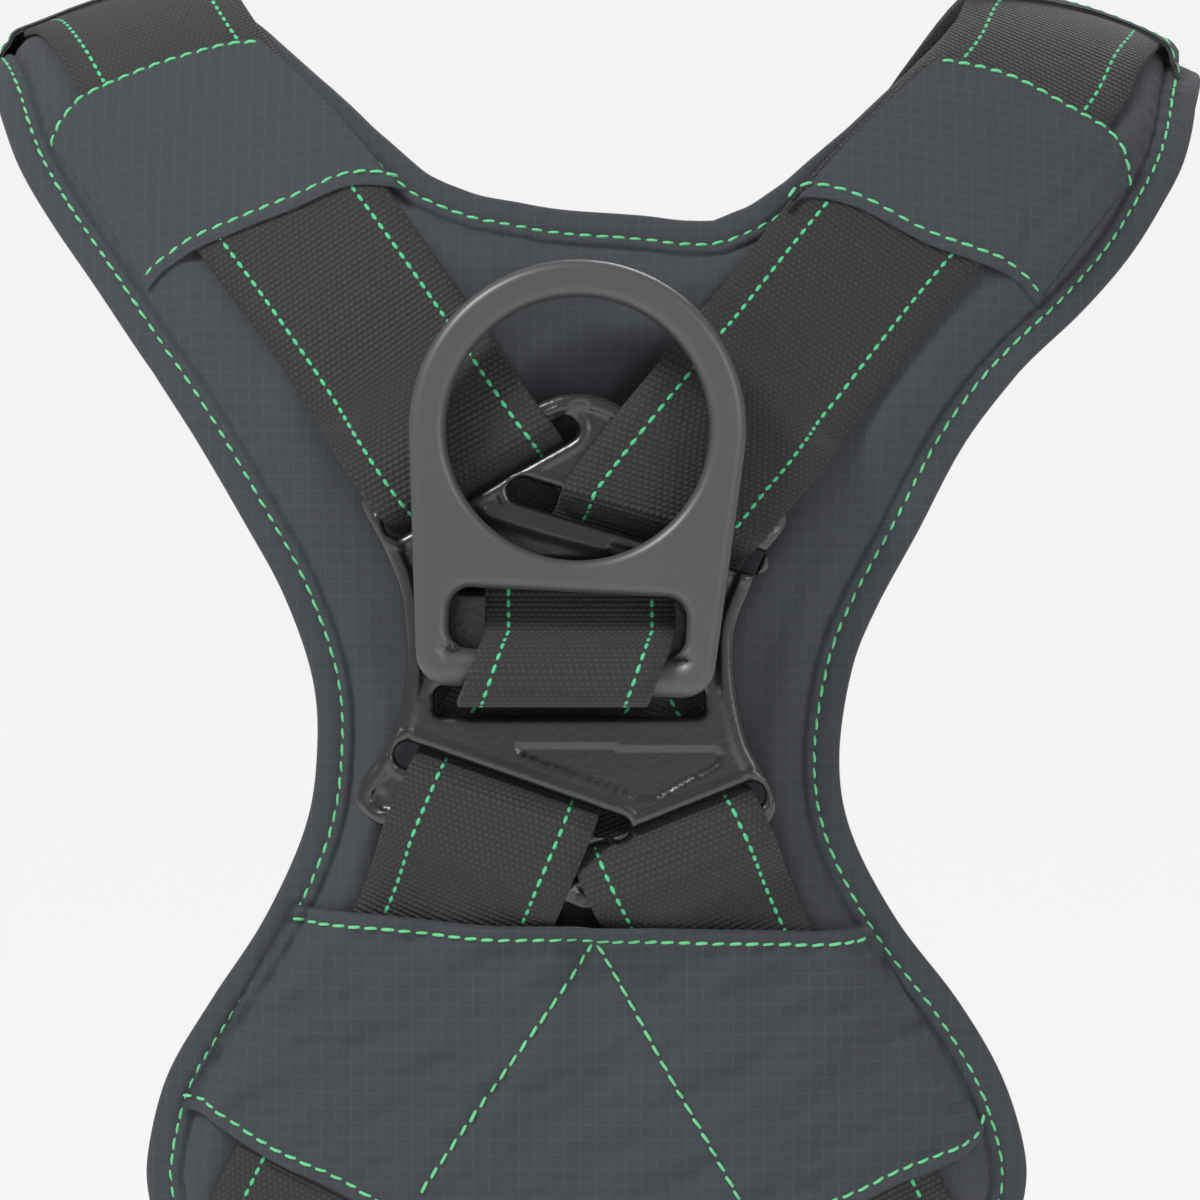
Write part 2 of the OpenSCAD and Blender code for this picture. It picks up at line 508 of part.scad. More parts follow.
// ---- Padded waist belt ----
belt_end = 138;
function belt_half(u) = belt_height / 2 - 15 * pow(abs(u) / belt_end, 2) - 16 * pow(abs(u) / belt_end, 14);
belt_turns = [for (i = [-22:22]) i * belt_end / 22];
module belt_pad() color(cloth)
    quilt(1, [for (u = belt_turns) [[u, waist_z + belt_half(u)], [u, waist_z - belt_half(u)]]],
        [[0, -10.2, -3], [0.05, -10.2, -0.7], [0.12, -10.2, 0], [0.5, -10.2, 0], [0.88, -10.2, 0],
         [0.95, -10.2, -0.7], [1, -10.2, -3]]);
module belt_lining() color(mesh_cloth)
    quilt(1, [for (u = belt_turns) [[u, waist_z + belt_half(u)], [u, waist_z - belt_half(u)]]],
        [[0, -11.5, -10.2], [0.5, -11.5, -10.2], [1, -11.5, -10.2]]);
module belt_strap() color(webbing)
    strap_on([for (i = [0:74]) let (u = -142 + 290 * i / 74) [for (j = [0:2])
        belt_at(u, waist_z + webbing_width * (0.5 - j / 2), 3.15)]], webbing_thick);

// ---- Side rings on sewn loops ----
side_z = -275;
side_out = waist_width / 2 + 4.2 + 1 + 6.5;
side_rod = 8;
module at_side(side) translate([side * side_out, waist_y, side_z]) children();
module side_ring() {
    for (s = [-1, 1]) translate([0, s * 27, -20]) cylinder(h = 20, d = side_rod);
    translate([0, 0, -20]) rotate([0, 90, 0]) rotate_extrude(angle = 180, start = -90) translate([27,
        0]) circle(d = side_rod, $fn = 48);
    translate([0, -27, 0]) rotate([-90, 0, 0]) cylinder(h = 54, d = side_rod);
    for (s = [-1, 1]) translate([0, s * 27, 0]) sphere(d = side_rod, $fn = 48);
}
module side_loop(side) scale([side, 1, 1]) rotate([90, 0, 0])
    flat_web([[-6.5, -32], [-6.5, -25], [-6.5, -16], [-6.3, -8], [-5.9, 0], [-4.2, 4.2], [0, 5.9], [4.2,
        4.2], [5.9, 0],
              [5.2, -4], [2, -8.5], [-2, -13], [-4.2, -19], [-4.3, -25], [-4.3, -31]], 38);
module side_loop_left() color(webbing) at_side(-1) side_loop(-1);
module side_loop_right() color(webbing) at_side(1) side_loop(1);
module side_ring_left() color(forged) at_side(-1) side_ring();
module side_ring_right() color(forged) at_side(1) side_ring();

// ---- Leg loops and risers ----
leg_end = 132;
leg_turns = [for (i = [-18:18]) i * leg_end / 18];
function leg_half(u) = 40 - 10 * pow(abs(u) / leg_end, 2) - 8 * pow(abs(u) / leg_end, 14);
module leg_pad(map) quilt(map, [for (u = leg_turns) map == 2 ? [[u, leg_half(u)], [u, -leg_half(u)]] : [[u,
    -leg_half(u)], [u, leg_half(u)]]],
    [[0, -9, -3], [0.06, -10, -0.7], [0.14, -10, 0], [0.5, -10, 0], [0.86, -10, 0], [0.94, -10, -0.7], [1,
        -9, -3]]);
module leg_strap(side) strap_on([for (i = [0:72]) let (u = -178 + 356 * i / 72) [for (j = [0:2])
    leg_at(side, u, webbing_width * (0.5 - j / 2), 1.1)]], webbing_thick);
module leg_slider(side) {
    p = leg_at(side, 180, 0, 1.1);
    translate(p) rotate([0, 90 - side * leg_tilt, 0]) slider_frame(2.6);
}
module riser(one, two) strap_on(lined(smooth(one, 5), smooth(two, 5), 1), 1.8);
function across(p, w) = p + [w, 0, 0];
module rear_riser(side) {
    w = riser_width / 2;
    path = [belt_at(side * 24, -336, 2.3), mix(belt_at(side * 24, -336, 3.6), leg_at(side, -6, 40, 5), 0.5),
        leg_at(side, -6, 24, 3.2)];
    riser([for (p = path) across(p, -w)], [for (p = path) across(p, w)]);
}

// The front end lies flat on the outside of the leg strap
function front_riser_edge(side, w) = let (e = w * 0.624) [across(belt_at(side * 144, -326, 1.3), w),
    mix(across(belt_at(side * 144, -326, 2), w), leg_at(side, 157 - side * e, 35, 4.2), 0.5),
    leg_at(side, 157 - side * e, 24, 4.2), leg_at(side, 157 - side * e, 0, 4.2)];
module front_riser(side) riser(front_riser_edge(side, -riser_width / 2), front_riser_edge(side, riser_width / 2));

module leg_pad_left() color(cloth) leg_pad(3);
module leg_pad_right() color(cloth) leg_pad(2);
module leg_strap_left() color(webbing) leg_strap(-1);
module leg_strap_right() color(webbing) leg_strap(1);
module leg_slider_left() color(forged) leg_slider(-1);
module leg_slider_right() color(forged) leg_slider(1);
module rear_riser_left() color(webbing) rear_riser(-1);
module rear_riser_right() color(webbing) rear_riser(1);
module front_riser_left() color(webbing) front_riser(-1);
module front_riser_right() color(webbing) front_riser(1);

pad_lining();
pad_foam();
pad_cover();
pad_binding();
shoulder_sleeve_left();
shoulder_sleeve_right();
top_sleeve_left();
top_sleeve_right();
lumbar_sleeve();
dorsal_plate();
ring_strap();
main_strap_left();
main_strap_right();
dorsal_ring();
shoulder_slider_left();
shoulder_slider_right();
chest_strap_fixed();
chest_strap_pull();
chest_keeper();
chest_buckle_frame();
chest_buckle_tab();
chest_button_upper();
chest_button_lower();
belt_pad();
belt_lining();
belt_strap();
side_loop_left();
side_loop_right();
side_ring_left();
side_ring_right();
waist_strap_fixed();
waist_strap_pull();
waist_keeper();
waist_buckle_frame();
waist_buckle_tab();
waist_button_upper();
waist_button_lower();
leg_pad_left();
leg_pad_right();
leg_strap_left();
leg_strap_right();
leg_slider_left();
leg_slider_right();
rear_riser_left();
rear_riser_right();
front_riser_left();
front_riser_right();
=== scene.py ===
import bpy, math
import numpy as np
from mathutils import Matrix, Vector, geometry


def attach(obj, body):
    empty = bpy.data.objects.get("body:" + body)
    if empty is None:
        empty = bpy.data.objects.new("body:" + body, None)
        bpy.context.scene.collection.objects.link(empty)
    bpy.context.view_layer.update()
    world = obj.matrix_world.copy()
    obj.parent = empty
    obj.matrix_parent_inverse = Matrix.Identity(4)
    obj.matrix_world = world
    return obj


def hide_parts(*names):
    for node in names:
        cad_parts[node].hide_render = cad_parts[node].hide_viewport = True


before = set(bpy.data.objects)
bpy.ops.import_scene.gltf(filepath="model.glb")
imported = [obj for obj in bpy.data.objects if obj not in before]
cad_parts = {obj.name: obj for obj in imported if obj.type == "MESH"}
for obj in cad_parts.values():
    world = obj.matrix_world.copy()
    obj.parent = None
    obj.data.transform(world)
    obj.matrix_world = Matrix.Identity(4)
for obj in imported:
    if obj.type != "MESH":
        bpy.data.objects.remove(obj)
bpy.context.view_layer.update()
rng = np.random.default_rng(7)

# Sizes used in several places, in millimetres
WEB_WIDTH, WEB_THICK, NARROW_WIDTH = 45, 1.9, 25
HALF_WEB, HALF_NARROW = WEB_WIDTH / 2, NARROW_WIDTH / 2
BACK_Y, BACK_R = -130, 300  # the back's design face: its place at x = 0, and its radius across
BELT_Z = -300
CHUNK = 4000  # points measured at a time, to save memory


# ---------------------------------------------------------------- body map (millimetres)
def arc_on(p, r, turn):
    a, b = math.radians(p[2]), np.radians(p[2] + turn)
    return p[0] + r * (math.cos(a) - np.cos(b)), p[1] + r * (np.sin(b) - math.sin(a)), p[2] + turn


def ahead(p, run):
    a = math.radians(p[2])
    return p[0] + run * math.sin(a), p[1] + run * math.cos(a), p[2] + 0 * run


DIP = math.degrees(130 / 900)
DIP_MID = (BACK_Y + 900 * (1 - math.cos(130 / 900)), -20 - 900 * math.sin(130 / 900), -DIP)
DIP_LOW = (BACK_Y + 1800 * (1 - math.cos(130 / 900)), -20 - 1800 * math.sin(130 / 900), 0)
BLADE = (BACK_Y, 72, 0)
NAPE = arc_on(BLADE, 130, 45)
COLLAR = arc_on(NAPE, 75, 105)
BREAST = ahead(COLLAR, 90)
STERNUM = arc_on(BREAST, 200, 30)
S1 = 72 + 130 * math.radians(45)
S2 = S1 + 75 * math.radians(105)
S3 = S2 + 90
S4 = S3 + 200 * math.radians(30)


def skin(x, s, d=0.0):
    """Point d out from the torso, x across and s along the spine, over the shoulder and down the front."""
    x, s, d = np.broadcast_arrays(np.asarray(x, float), np.asarray(s, float), np.asarray(d, float))

    def bare(x, s):
        parts = [
            (s < -280, ahead(DIP_LOW, s + 280)),
            (s < -150, arc_on(DIP_LOW, -900, -np.degrees((s + 280) / 900))),
            (s < -20, arc_on(DIP_MID, 900, np.degrees((s + 150) / 900))),
            (s < 72, (BACK_Y + 0 * s, s, 0 * s)),
            (s < S1, arc_on(BLADE, 130, np.degrees((s - 72) / 130))),
            (s < S2, arc_on(NAPE, 75, np.degrees((s - S1) / 75))),
            (s < S3, ahead(COLLAR, s - S2)),
            (s < S4, arc_on(BREAST, 200, np.degrees((s - S3) / 200))),
        ]
        last = ahead(STERNUM, s - S4)
        y, z, t = (np.select([c for c, _ in parts], [p[k] for _, p in parts], last[k]) for k in range(3))
        c = np.cos(np.radians(t))
        sag = BACK_R - np.sqrt(BACK_R**2 - x * x)
        return np.stack([x, y + c * (0.75 + 0.25 * c) * sag, z - np.sin(np.radians(t)) * x * x / 720], -1)

    n = np.cross(bare(x + 0.5, s) - bare(x - 0.5, s), bare(x, s + 0.5) - bare(x, s - 0.5))
    n /= np.linalg.norm(n, axis=-1, keepdims=True)
    return bare(x, s) + d[..., None] * n


def oval(u, a, b, n, d=0.0):
    u = np.radians(u)
    r = ((np.abs(np.sin(u)) / a) ** n + (np.abs(np.cos(u)) / b) ** n) ** (-1 / n)
    x, y = r * np.sin(u), -r * np.cos(u)
    g = np.stack([np.sign(x) * (np.abs(x) / a) ** (n - 1) / a, np.sign(y) * (np.abs(y) / b) ** (n - 1) / b], -1)
    g /= np.linalg.norm(g, axis=-1, keepdims=True)
    return x + g[..., 0] * d, y + g[..., 1] * d


def belt(u, v, d=0.0):
    u, v, d = np.broadcast_arrays(np.asarray(u, float), np.asarray(v, float), np.asarray(d, float))
    x, y = oval(u, 165, 115, 2.8, d)
    return np.stack([x, y + 4, v], -1)


def belt_turn(x, front):
    return np.degrees(np.arctan2(x, -front * 115 * (1 - np.abs(x / 165) ** 2.8) ** (1 / 2.8)))


def leg(side):
    c, s = math.cos(math.radians(12)), math.sin(math.radians(12))

    def place(u, v, d=0.0):
        u, v, d = np.broadcast_arrays(np.asarray(u, float), np.asarray(v, float), np.asarray(d, float))
        x, y = oval(u, 90, 97, 2.1, d)
        return np.stack([side * (100 + x * c - v * s), y, -480 + x * s + v * c], -1)

    return place


# ---------------------------------------------------------------- curves and noise
def smooth(p, k, loop=False):
    p = np.asarray(p, float)
    q = np.concatenate([p[-1:], p, p[:2]]) if loop else np.concatenate([p[:1], p, p[-1:]])
    t = (np.arange(k) / k)[:, None]
    out = []
    for i in range(1, len(q) - 2):
        a, b, c, e = q[i - 1], q[i], q[i + 1], q[i + 2]
        out.append(0.5 * (2 * b + (c - a) * t + (2 * a - 5 * b + 4 * c - e) * t**2
                          + (3 * b - a - 3 * c + e) * t**3))
    if not loop:
        out.append(p[-1:])
    return np.concatenate(out)


def lengths(p):
    return np.concatenate([[0], np.cumsum(np.linalg.norm(np.diff(p, axis=0), axis=1))])


def spaced(p, step):
    t = lengths(p)
    n = max(2, int(round(t[-1] / step)) + 1)
    w = np.linspace(0, t[-1], n)
    return np.stack([np.interp(w, t, p[:, k]) for k in range(p.shape[1])], 1)


def ease(x):
    x = np.clip(x, 0, 1)
    return x * x * (3 - 2 * x)


def waves(x, y, seed, size, octaves=3):
    """Smooth noise from turned sine waves, about -1 to 1."""
    r = np.random.default_rng(seed)
    total = 0
    for o in range(octaves):
        for _ in range(5):
            a, ph = r.uniform(0, 2 * math.pi, 2)
            f = 2 * math.pi / size * 2**o * r.uniform(0.7, 1.4)
            total = total + np.sin(f * (x * math.cos(a) + y * math.sin(a)) + ph) * 0.5**o / 3.2
    return total


def nearest(p, a, ab):
    """Distance from points to the nearest of the segments a to a + ab, and the length along them."""
    l2 = (ab**2).sum(1)
    run = np.concatenate([[0], np.cumsum(np.sqrt(l2))])
    t = np.clip(((p[:, None] - a) * ab).sum(2) / l2, 0, 1)
    dist = np.sqrt(((p[:, None] - a - t[..., None] * ab) ** 2).sum(2))
    k = dist.argmin(1)
    rows = np.arange(len(k))
    return dist[rows, k], run[k] + t[rows, k] * np.sqrt(l2[k])


def edge_distance(px, loops):
    """(distance, length along the loop, inside) of 2-D points to closed loops."""
    best = np.full(len(px), 1e9)
    along = np.zeros(len(px))
    inside = np.zeros(len(px), bool)
    for loop in loops:
        a, b = loop, np.roll(loop, -1, 0)
        ab = b - a
        for i in range(0, len(px), CHUNK):
            p = px[i : i + CHUNK]
            m, at = nearest(p, a, ab)
            w = m < best[i : i + CHUNK]
            best[i : i + CHUNK][w] = m[w]
            along[i : i + CHUNK][w] = at[w]
            x, y = p[:, 0:1], p[:, 1:2]
            cross = ((a[:, 1] > y) != (b[:, 1] > y)) & (
                x < ab[:, 0] * (y - a[:, 1]) / np.where(ab[:, 1] == 0, 1e-9, ab[:, 1]) + a[:, 0])
            inside[i : i + CHUNK] ^= (cross.sum(1) % 2).astype(bool)
    return best, along, inside


def field(loops, insets, grid, tidy=0.45):
    """Triangles filling loops, with rows of points that follow the edges at the given insets."""
    rim, chains = [], []
    for loop in loops:
        chains.append((len(rim), len(loop)))
        rim.extend(loop)
    rim = np.array(rim)
    extra = []
    for d in insets:
        for loop in loops:
            v = np.roll(loop, -1, 0) - np.roll(loop, 1, 0)
            v /= np.linalg.norm(v, axis=1, keepdims=True)
            for sign in (1, -1):
                extra.append(loop + sign * d * np.stack([-v[:, 1], v[:, 0]], 1))
    keep = []
    if extra:
        sizes = np.concatenate([np.full(len(e), insets[i // (2 * len(loops))]) for i, e in enumerate(extra)])
        extra = np.concatenate(extra)
        dd, _, ins = edge_distance(extra, loops)
        ok = ins & (np.abs(dd - sizes) < 0.06 * sizes + 0.02)
        keep.append(extra[ok])
    lo, hi = rim.min(0), rim.max(0)
    gx, gy = np.meshgrid(np.arange(lo[0], hi[0], grid), np.arange(lo[1], hi[1], grid * 0.866))
    gx = gx + (np.arange(gx.shape[0]) % 2)[:, None] * grid / 2
    g = np.stack([gx.ravel(), gy.ravel()], 1)
    dd, _, ins = edge_distance(g, loops)
    keep.append(g[ins & (dd > (max(insets) + grid * tidy if insets else grid * tidy))])
    pts = np.concatenate([rim] + keep)
    edges = [(o + i, o + (i + 1) % n) for o, n in chains for i in range(n)]
    verts, _, faces, *_ = geometry.delaunay_2d_cdt([Vector(p) for p in pts], edges, [], 0, 1e-4)
    v = np.array([tuple(p) for p in verts])
    f = np.array([tuple(t) for t in faces if len(t) == 3])
    dd, along, ins = edge_distance(v, loops)
    mid = v[f].mean(1)
    _, _, inside = edge_distance(mid, loops)
    f = f[inside]
    on_rim = dd < 1e-3
    return v, f, np.where(on_rim, 0, dd), along, on_rim


# ---------------------------------------------------------------- making pieces
def piece(name, verts, faces, material, body="harness", uv=None, replaces=(), slot=None):
    mesh = bpy.data.meshes.new(name)
    verts = np.asarray(verts, float) * 0.001
    faces = np.asarray(faces)
    k = faces.shape[1]
    mesh.vertices.add(len(verts))
    mesh.vertices.foreach_set("co", verts.ravel())
    mesh.loops.add(faces.size)
    mesh.loops.foreach_set("vertex_index", faces.ravel())
    mesh.polygons.add(len(faces))
    mesh.polygons.foreach_set("loop_start", np.arange(0, faces.size, k))
    mesh.polygons.foreach_set("use_smooth", np.ones(len(faces), bool))
    mesh.update(calc_edges=True)
    if uv is not None:
        layer = mesh.uv_layers.new(name="run")
        layer.data.foreach_set("uv", (np.asarray(uv)[faces.ravel()] * 0.01).ravel())
    mesh.validate()
    o = bpy.data.objects.new(name, mesh)
    bpy.context.scene.collection.objects.link(o)
    o.data.materials.append(material)
    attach(o, body)
    if replaces:
        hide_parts(*replaces)
    return o


def grid_faces(n, m, close_m=False):
    i, j = np.meshgrid(np.arange(n - 1), np.arange(m if close_m else m - 1), indexing="ij")
    k, k2 = i * m + j, i * m + (j + 1) % m
    return np.stack([k, k2, k2 + m, k + m], -1).reshape(-1, 4)


def stitches(name, path, normals, pitch=4.0, size=0.37, lift=0.12, run=3.3):
    """A row of thread stitches along a path that lies on the cloth."""
    path, normals = np.asarray(path, float), np.asarray(normals, float)
    t = lengths(path)
    n = max(1, int(t[-1] / pitch))
    gap = t[-1] / n
    prof = [(-0.5, 0.0), (-0.47, 0.6), (-0.38, 1.0), (0.0, 1.1), (0.38, 1.0), (0.47, 0.6), (0.5, 0.0)]
    verts, faces = [], []

    def at(q, arr):
        return np.array([np.interp(q, t, arr[:, k]) for k in range(3)])

    for i in range(n):
        w = (i + 0.5) * gap
        c = at(w, path)
        d = at(min(w + 0.6, t[-1]), path) - at(max(w - 0.6, 0), path)
        d /= np.linalg.norm(d)
        u = at(w, normals)
        u = u - (u @ d) * d
        u /= np.linalg.norm(u)
        s = np.cross(u, d)
        k = rng.uniform(0.02, 0.1) + 0.05
        d = d * math.cos(k) + s * math.sin(k)
        s = np.cross(u, d)
        r, ln = size * rng.uniform(0.92, 1.08), run * rng.uniform(0.94, 1.04)
        base = len(verts)
        for q, m in prof:
            sink = lift - 3.4 * size * (abs(q) * 2) ** 3 * 0.5
            for j in range(6):
                a = 2 * math.pi * j / 6
                verts.append(c + d * q * ln + (s * math.cos(a) + u * math.sin(a)) * r * max(m, 0.05) + u * sink)
        for a in range(len(prof) - 1):
            for j in range(6):
                p, q = base + a * 6 + j, base + a * 6 + (j + 1) % 6
                faces.append((p, q, q + 6, p + 6))
    return piece(name, verts, faces, THREAD)


def grid_normals(g):
    a = np.gradient(g, axis=0)
    b = np.gradient(g, axis=1)
    n = np.cross(b, a)
    return n / np.maximum(np.linalg.norm(n, axis=-1, keepdims=True), 1e-9)


def finer(g, k):
    """A coarse grid of points made k times finer along its first direction."""
    return np.stack([smooth(g[:, j], k) for j in range(g.shape[1])], 1)


def end_quads(top, low, more, back):
    """The faces that close an end, between its upper and lower points."""
    quads = [[top[j], low[j], low[j + 1], top[j + 1]] for j in range(len(top) - 1)] + more
    return [q[::-1] for q in quads] if back else quads


def ribbon(name, grid, material, body="harness", thick=WEB_THICK, replaces=(), slot="load_webbing"):
    """Webbing of even thickness about a grid of centre points: rows run along it, columns across it."""
    g = np.asarray(grid, float)
    n, m = g.shape[:2]
    nor = grid_normals(g)
    along = lengths(g[:, m // 2])
    across = np.concatenate([[0], np.cumsum(np.linalg.norm(np.diff(g[n // 2], axis=0), axis=1))])
    across -= across[-1] / 2
    side = g[:, -1] - g[:, 0]
    side /= np.linalg.norm(side, axis=1, keepdims=True)
    h = thick / 2
    cols, uv = [], []

    def add(p, a):
        cols.append(p)
        uv.append(np.stack([along, np.full(n, a)], 1))

    inset = 0.45
    for j in range(m):
        p = g[:, j] + nor[:, j] * h
        if j in (0, m - 1):
            p = p + side * (inset if j == 0 else -inset)
        add(p, across[j])
    add(g[:, -1] + nor[:, -1] * h * 0.55, across[-1])
    add(g[:, -1] - nor[:, -1] * h * 0.55, across[-1])
    for j in range(m - 1, -1, -1):
        p = g[:, j] - nor[:, j] * h
        if j in (0, m - 1):
            p = p + side * (inset if j == 0 else -inset)
        add(p, across[j])
    add(g[:, 0] - nor[:, 0] * h * 0.55, across[0])
    add(g[:, 0] + nor[:, 0] * h * 0.55, across[0])
    v = np.stack(cols, 1)
    c = v.shape[1]
    faces = grid_faces(n, c, True)
    caps = []
    for row in (0, n - 1):
        o = row * c
        top = list(range(o, o + m))
        low = list(range(o + m + 2, o + 2 * m + 2))[::-1]
        corners = [[o + m - 1, low[-1], o + m + 1, o + m], [o, o + 2 * m + 3, o + 2 * m + 2, low[0]]]
        caps += end_quads(top, low, corners, row > 0)
    faces = np.concatenate([faces, np.array(caps)])
    return piece(name, v.reshape(-1, 3), faces, material, body, np.stack(uv, 1).reshape(-1, 2),
                 replaces=replaces, slot=slot)


# ---------------------------------------------------------------- materials
class Mat:
    """Small helper for procedural materials."""

    def __init__(self, name, colour, rough, metal=0.0, **more):
        self.m = bpy.data.materials.new(name)
        self.m.use_nodes = True
        self.t = self.m.node_tree
        self.b = self.t.nodes["Principled BSDF"]
        self.b.inputs["Base Color"].default_value = (*colour, 1)
        self.b.inputs["Roughness"].default_value = rough
        self.b.inputs["Metallic"].default_value = metal
        for k, v in more.items():
            self.b.inputs[k.replace("_", " ")].default_value = v

    def new(self, kind, **props):
        n = self.t.nodes.new(kind)
        for k, v in props.items():
            setattr(n, k, v)
        return n

    def put(self, socket, v):
        if hasattr(v, "is_output"):
            self.t.links.new(v, socket)
        else:
            socket.default_value = v

    def op(self, kind, a, b=None, c=None):
        n = self.new("ShaderNodeMath", operation=kind)
        for k, v in enumerate((a, b, c)):
            if v is not None:
                self.put(n.inputs[k], v)
        return n.outputs[0]

    def mix(self, f, a, b):
        n = self.new("ShaderNodeMix", data_type="RGBA")
        self.put(n.inputs[0], f)
        self.put(n.inputs[6], a if hasattr(a, "is_output") else (*a, 1))
        self.put(n.inputs[7], b if hasattr(b, "is_output") else (*b, 1))
        return n.outputs[2]

    def noise(self, scale, detail=2.0, where=None, rough=0.5):
        n = self.new("ShaderNodeTexNoise")
        n.inputs["Scale"].default_value = scale
        n.inputs["Detail"].default_value = detail
        n.inputs["Roughness"].default_value = rough
        if where is None:
            where = self.new("ShaderNodeTexCoord").outputs["Object"]
        self.t.links.new(where, n.inputs["Vector"])
        return n.outputs["Fac"]

    def run(self):
        """(along, across) in millimetres."""
        u = self.new("ShaderNodeUVMap", uv_map="run")
        s = self.new("ShaderNodeSeparateXYZ")
        self.t.links.new(u.outputs[0], s.inputs[0])
        return self.op("MULTIPLY", s.outputs[0], 100.0), self.op("MULTIPLY", s.outputs[1], 100.0)

    def bump(self, height, distance, strength=1.0):
        n = self.new("ShaderNodeBump")
        n.inputs["Distance"].default_value = distance
        n.inputs["Strength"].default_value = strength
        self.put(n.inputs["Height"], height)
        last = self.b.inputs["Normal"]
        if last.links:
            self.t.links.new(last.links[0].from_socket, n.inputs["Normal"])
        self.t.links.new(n.outputs[0], last)

    def cell(self, x, pitch):
        """Distance from the middle of a repeat, 0 to 0.5."""
        return self.op("ABSOLUTE", self.op("SUBTRACT", self.op("FRACT", self.op("DIVIDE", x, pitch)), 0.5))


def webbing(name, base, top, tracer=None, at=16.9):
    w = Mat(name, base, 0.75, Sheen_Weight=0.06, Sheen_Roughness=0.5)
    x, y = w.run()
    row = w.op("FLOOR", w.op("DIVIDE", x, 1.35))
    shift = w.op("MULTIPLY", w.op("MODULO", row, 2.0), 0.8)
    rib = w.op("SUBTRACT", 0.5, w.cell(x, 1.35))
    dot = w.op("SUBTRACT", 0.5, w.cell(w.op("ADD", y, shift), 1.6))
    knot = w.op("MULTIPLY", w.op("MULTIPLY", rib, 2.0), w.op("MULTIPLY", dot, 2.0))
    knot = w.op("SMOOTH_MIN", knot, 0.8, 0.2)
    fade = w.op("ADD", 0.55, w.op("MULTIPLY", w.noise(140, 2), 0.9))
    # Painted highlight: the raised knots of the weave are coloured lighter (the top colour), as if lit, with a random
    # fade; the bump below raises them too
    colour = w.mix(w.op("MULTIPLY", w.op("POWER", knot, 2.2), fade), base, top)
    height = w.op("ADD", w.op("MULTIPLY", knot, 0.7), w.op("MULTIPLY", rib, 0.9))
    if tracer:
        a = w.op("MULTIPLY", w.op("SUBTRACT", w.op("FRACT", w.op("DIVIDE", x, 3.0)), 0.5), 3.0)
        b = w.op("DIVIDE", w.op("SUBTRACT", w.op("ABSOLUTE", y), at), 0.45)
        r = w.op("ADD", w.op("MULTIPLY", a, a), w.op("MULTIPLY", b, b))
        green = w.op("LESS_THAN", r, 1.0)
        colour = w.mix(green, colour, tracer)
        height = w.op("MAXIMUM", height, w.op("MULTIPLY", w.op("SUBTRACT", 1.3, r), 0.9))
    w.t.links.new(colour, w.b.inputs["Base Color"])
    w.bump(height, 0.00035, 0.9)
    w.bump(w.noise(2600, 2), 0.00006, 0.6)
    return w.m


def cloth(name, base, thread, pitch=3.6, rough=0.82):
    c = Mat(name, base, rough, Sheen_Weight=0.08, Sheen_Roughness=0.45)
    x, y = c.run()
    line = c.op("MAXIMUM", c.op("GREATER_THAN", c.cell(x, pitch), 0.452),
                c.op("GREATER_THAN", c.cell(y, pitch), 0.452))
    weave = c.op("MULTIPLY", c.op("SINE", c.op("MULTIPLY", x, 12.0)), c.op("SINE", c.op("MULTIPLY", y, 12.0)))
    patch = c.noise(9, 4)
    shade = c.op("ADD", c.op("MULTIPLY", line, 0.4), c.op("MULTIPLY", patch, 0.5))
    c.t.links.new(c.mix(shade, base, thread), c.b.inputs["Base Color"])
    c.bump(c.op("ADD", weave, c.op("MULTIPLY", line, 1.5)), 0.00006, 0.7)
    c.bump(c.noise(160, 3), 0.0004, 0.35)
    return c.m


def mesh_cloth(name, base):
    c = Mat(name, base, 0.9, Sheen_Weight=0.08)
    x, y = c.run()
    a = c.cell(c.op("ADD", x, c.op("MULTIPLY", c.op("MODULO", c.op("FLOOR", c.op("DIVIDE", y, 1.6)), 2.0), 1.1)), 2.2)
    b = c.cell(y, 1.6)
    hole = c.op("LESS_THAN", c.op("ADD", c.op("MULTIPLY", a, a), c.op("MULTIPLY", b, b)), 0.075)
    # Painted shade: the holes are coloured darker than the mesh, standing in for the shade inside them; the bump below
    # sinks them too
    c.t.links.new(c.mix(hole, base, (0.008, 0.008, 0.009)), c.b.inputs["Base Color"])
    c.bump(hole, -0.0004, 0.8)
    return c.m


def grained(name, colour, rough, metal=0.0, grain=900, depth=0.00005, **more):
    g = Mat(name, colour, rough, metal, **more)
    n = g.noise(grain, 3)
    g.bump(n, depth, 0.7)
    wear = g.noise(30, 3)
    g.t.links.new(g.op("ADD", rough - 0.05, g.op("MULTIPLY", wear, 0.1)), g.b.inputs["Roughness"])
    lighter = tuple(min(1, v * 1.12) for v in colour)
    g.t.links.new(g.mix(wear, colour, lighter), g.b.inputs["Base Color"])
    return g.m


GREEN = (0.045, 0.46, 0.19)
CLOTH = cloth("pad_cloth", (0.019, 0.022, 0.027), (0.040, 0.046, 0.055))
MESH = mesh_cloth("mesh_lining", (0.018, 0.020, 0.023))
# The second colour of each webbing is the painted highlight on its raised knots
WEB = webbing("load_webbing", (0.0065, 0.006, 0.0058), (0.044, 0.041, 0.039), GREEN)
PLAIN_WEB = webbing("plain_webbing", (0.0065, 0.006, 0.0058), (0.043, 0.041, 0.039))
LIGHT_WEB = webbing("light_webbing", (0.0065, 0.0065, 0.007), (0.028, 0.028, 0.030), GREEN, 8.5)
PLATE = grained("moulded_plate", (0.006, 0.006, 0.007), 0.3, grain=620, depth=0.00016, Specular_IOR_Level=0.7)
RING = grained("forged_ring", (0.060, 0.060, 0.062), 0.42, 0.3, grain=1500, depth=0.00003)
HARD = grained("hardware", (0.052, 0.052, 0.055), 0.4, 0.3, grain=1500, depth=0.00003)
BUTTON = grained("button_plastic", (0.02, 0.02, 0.022), 0.45, grain=900, depth=0.00004)


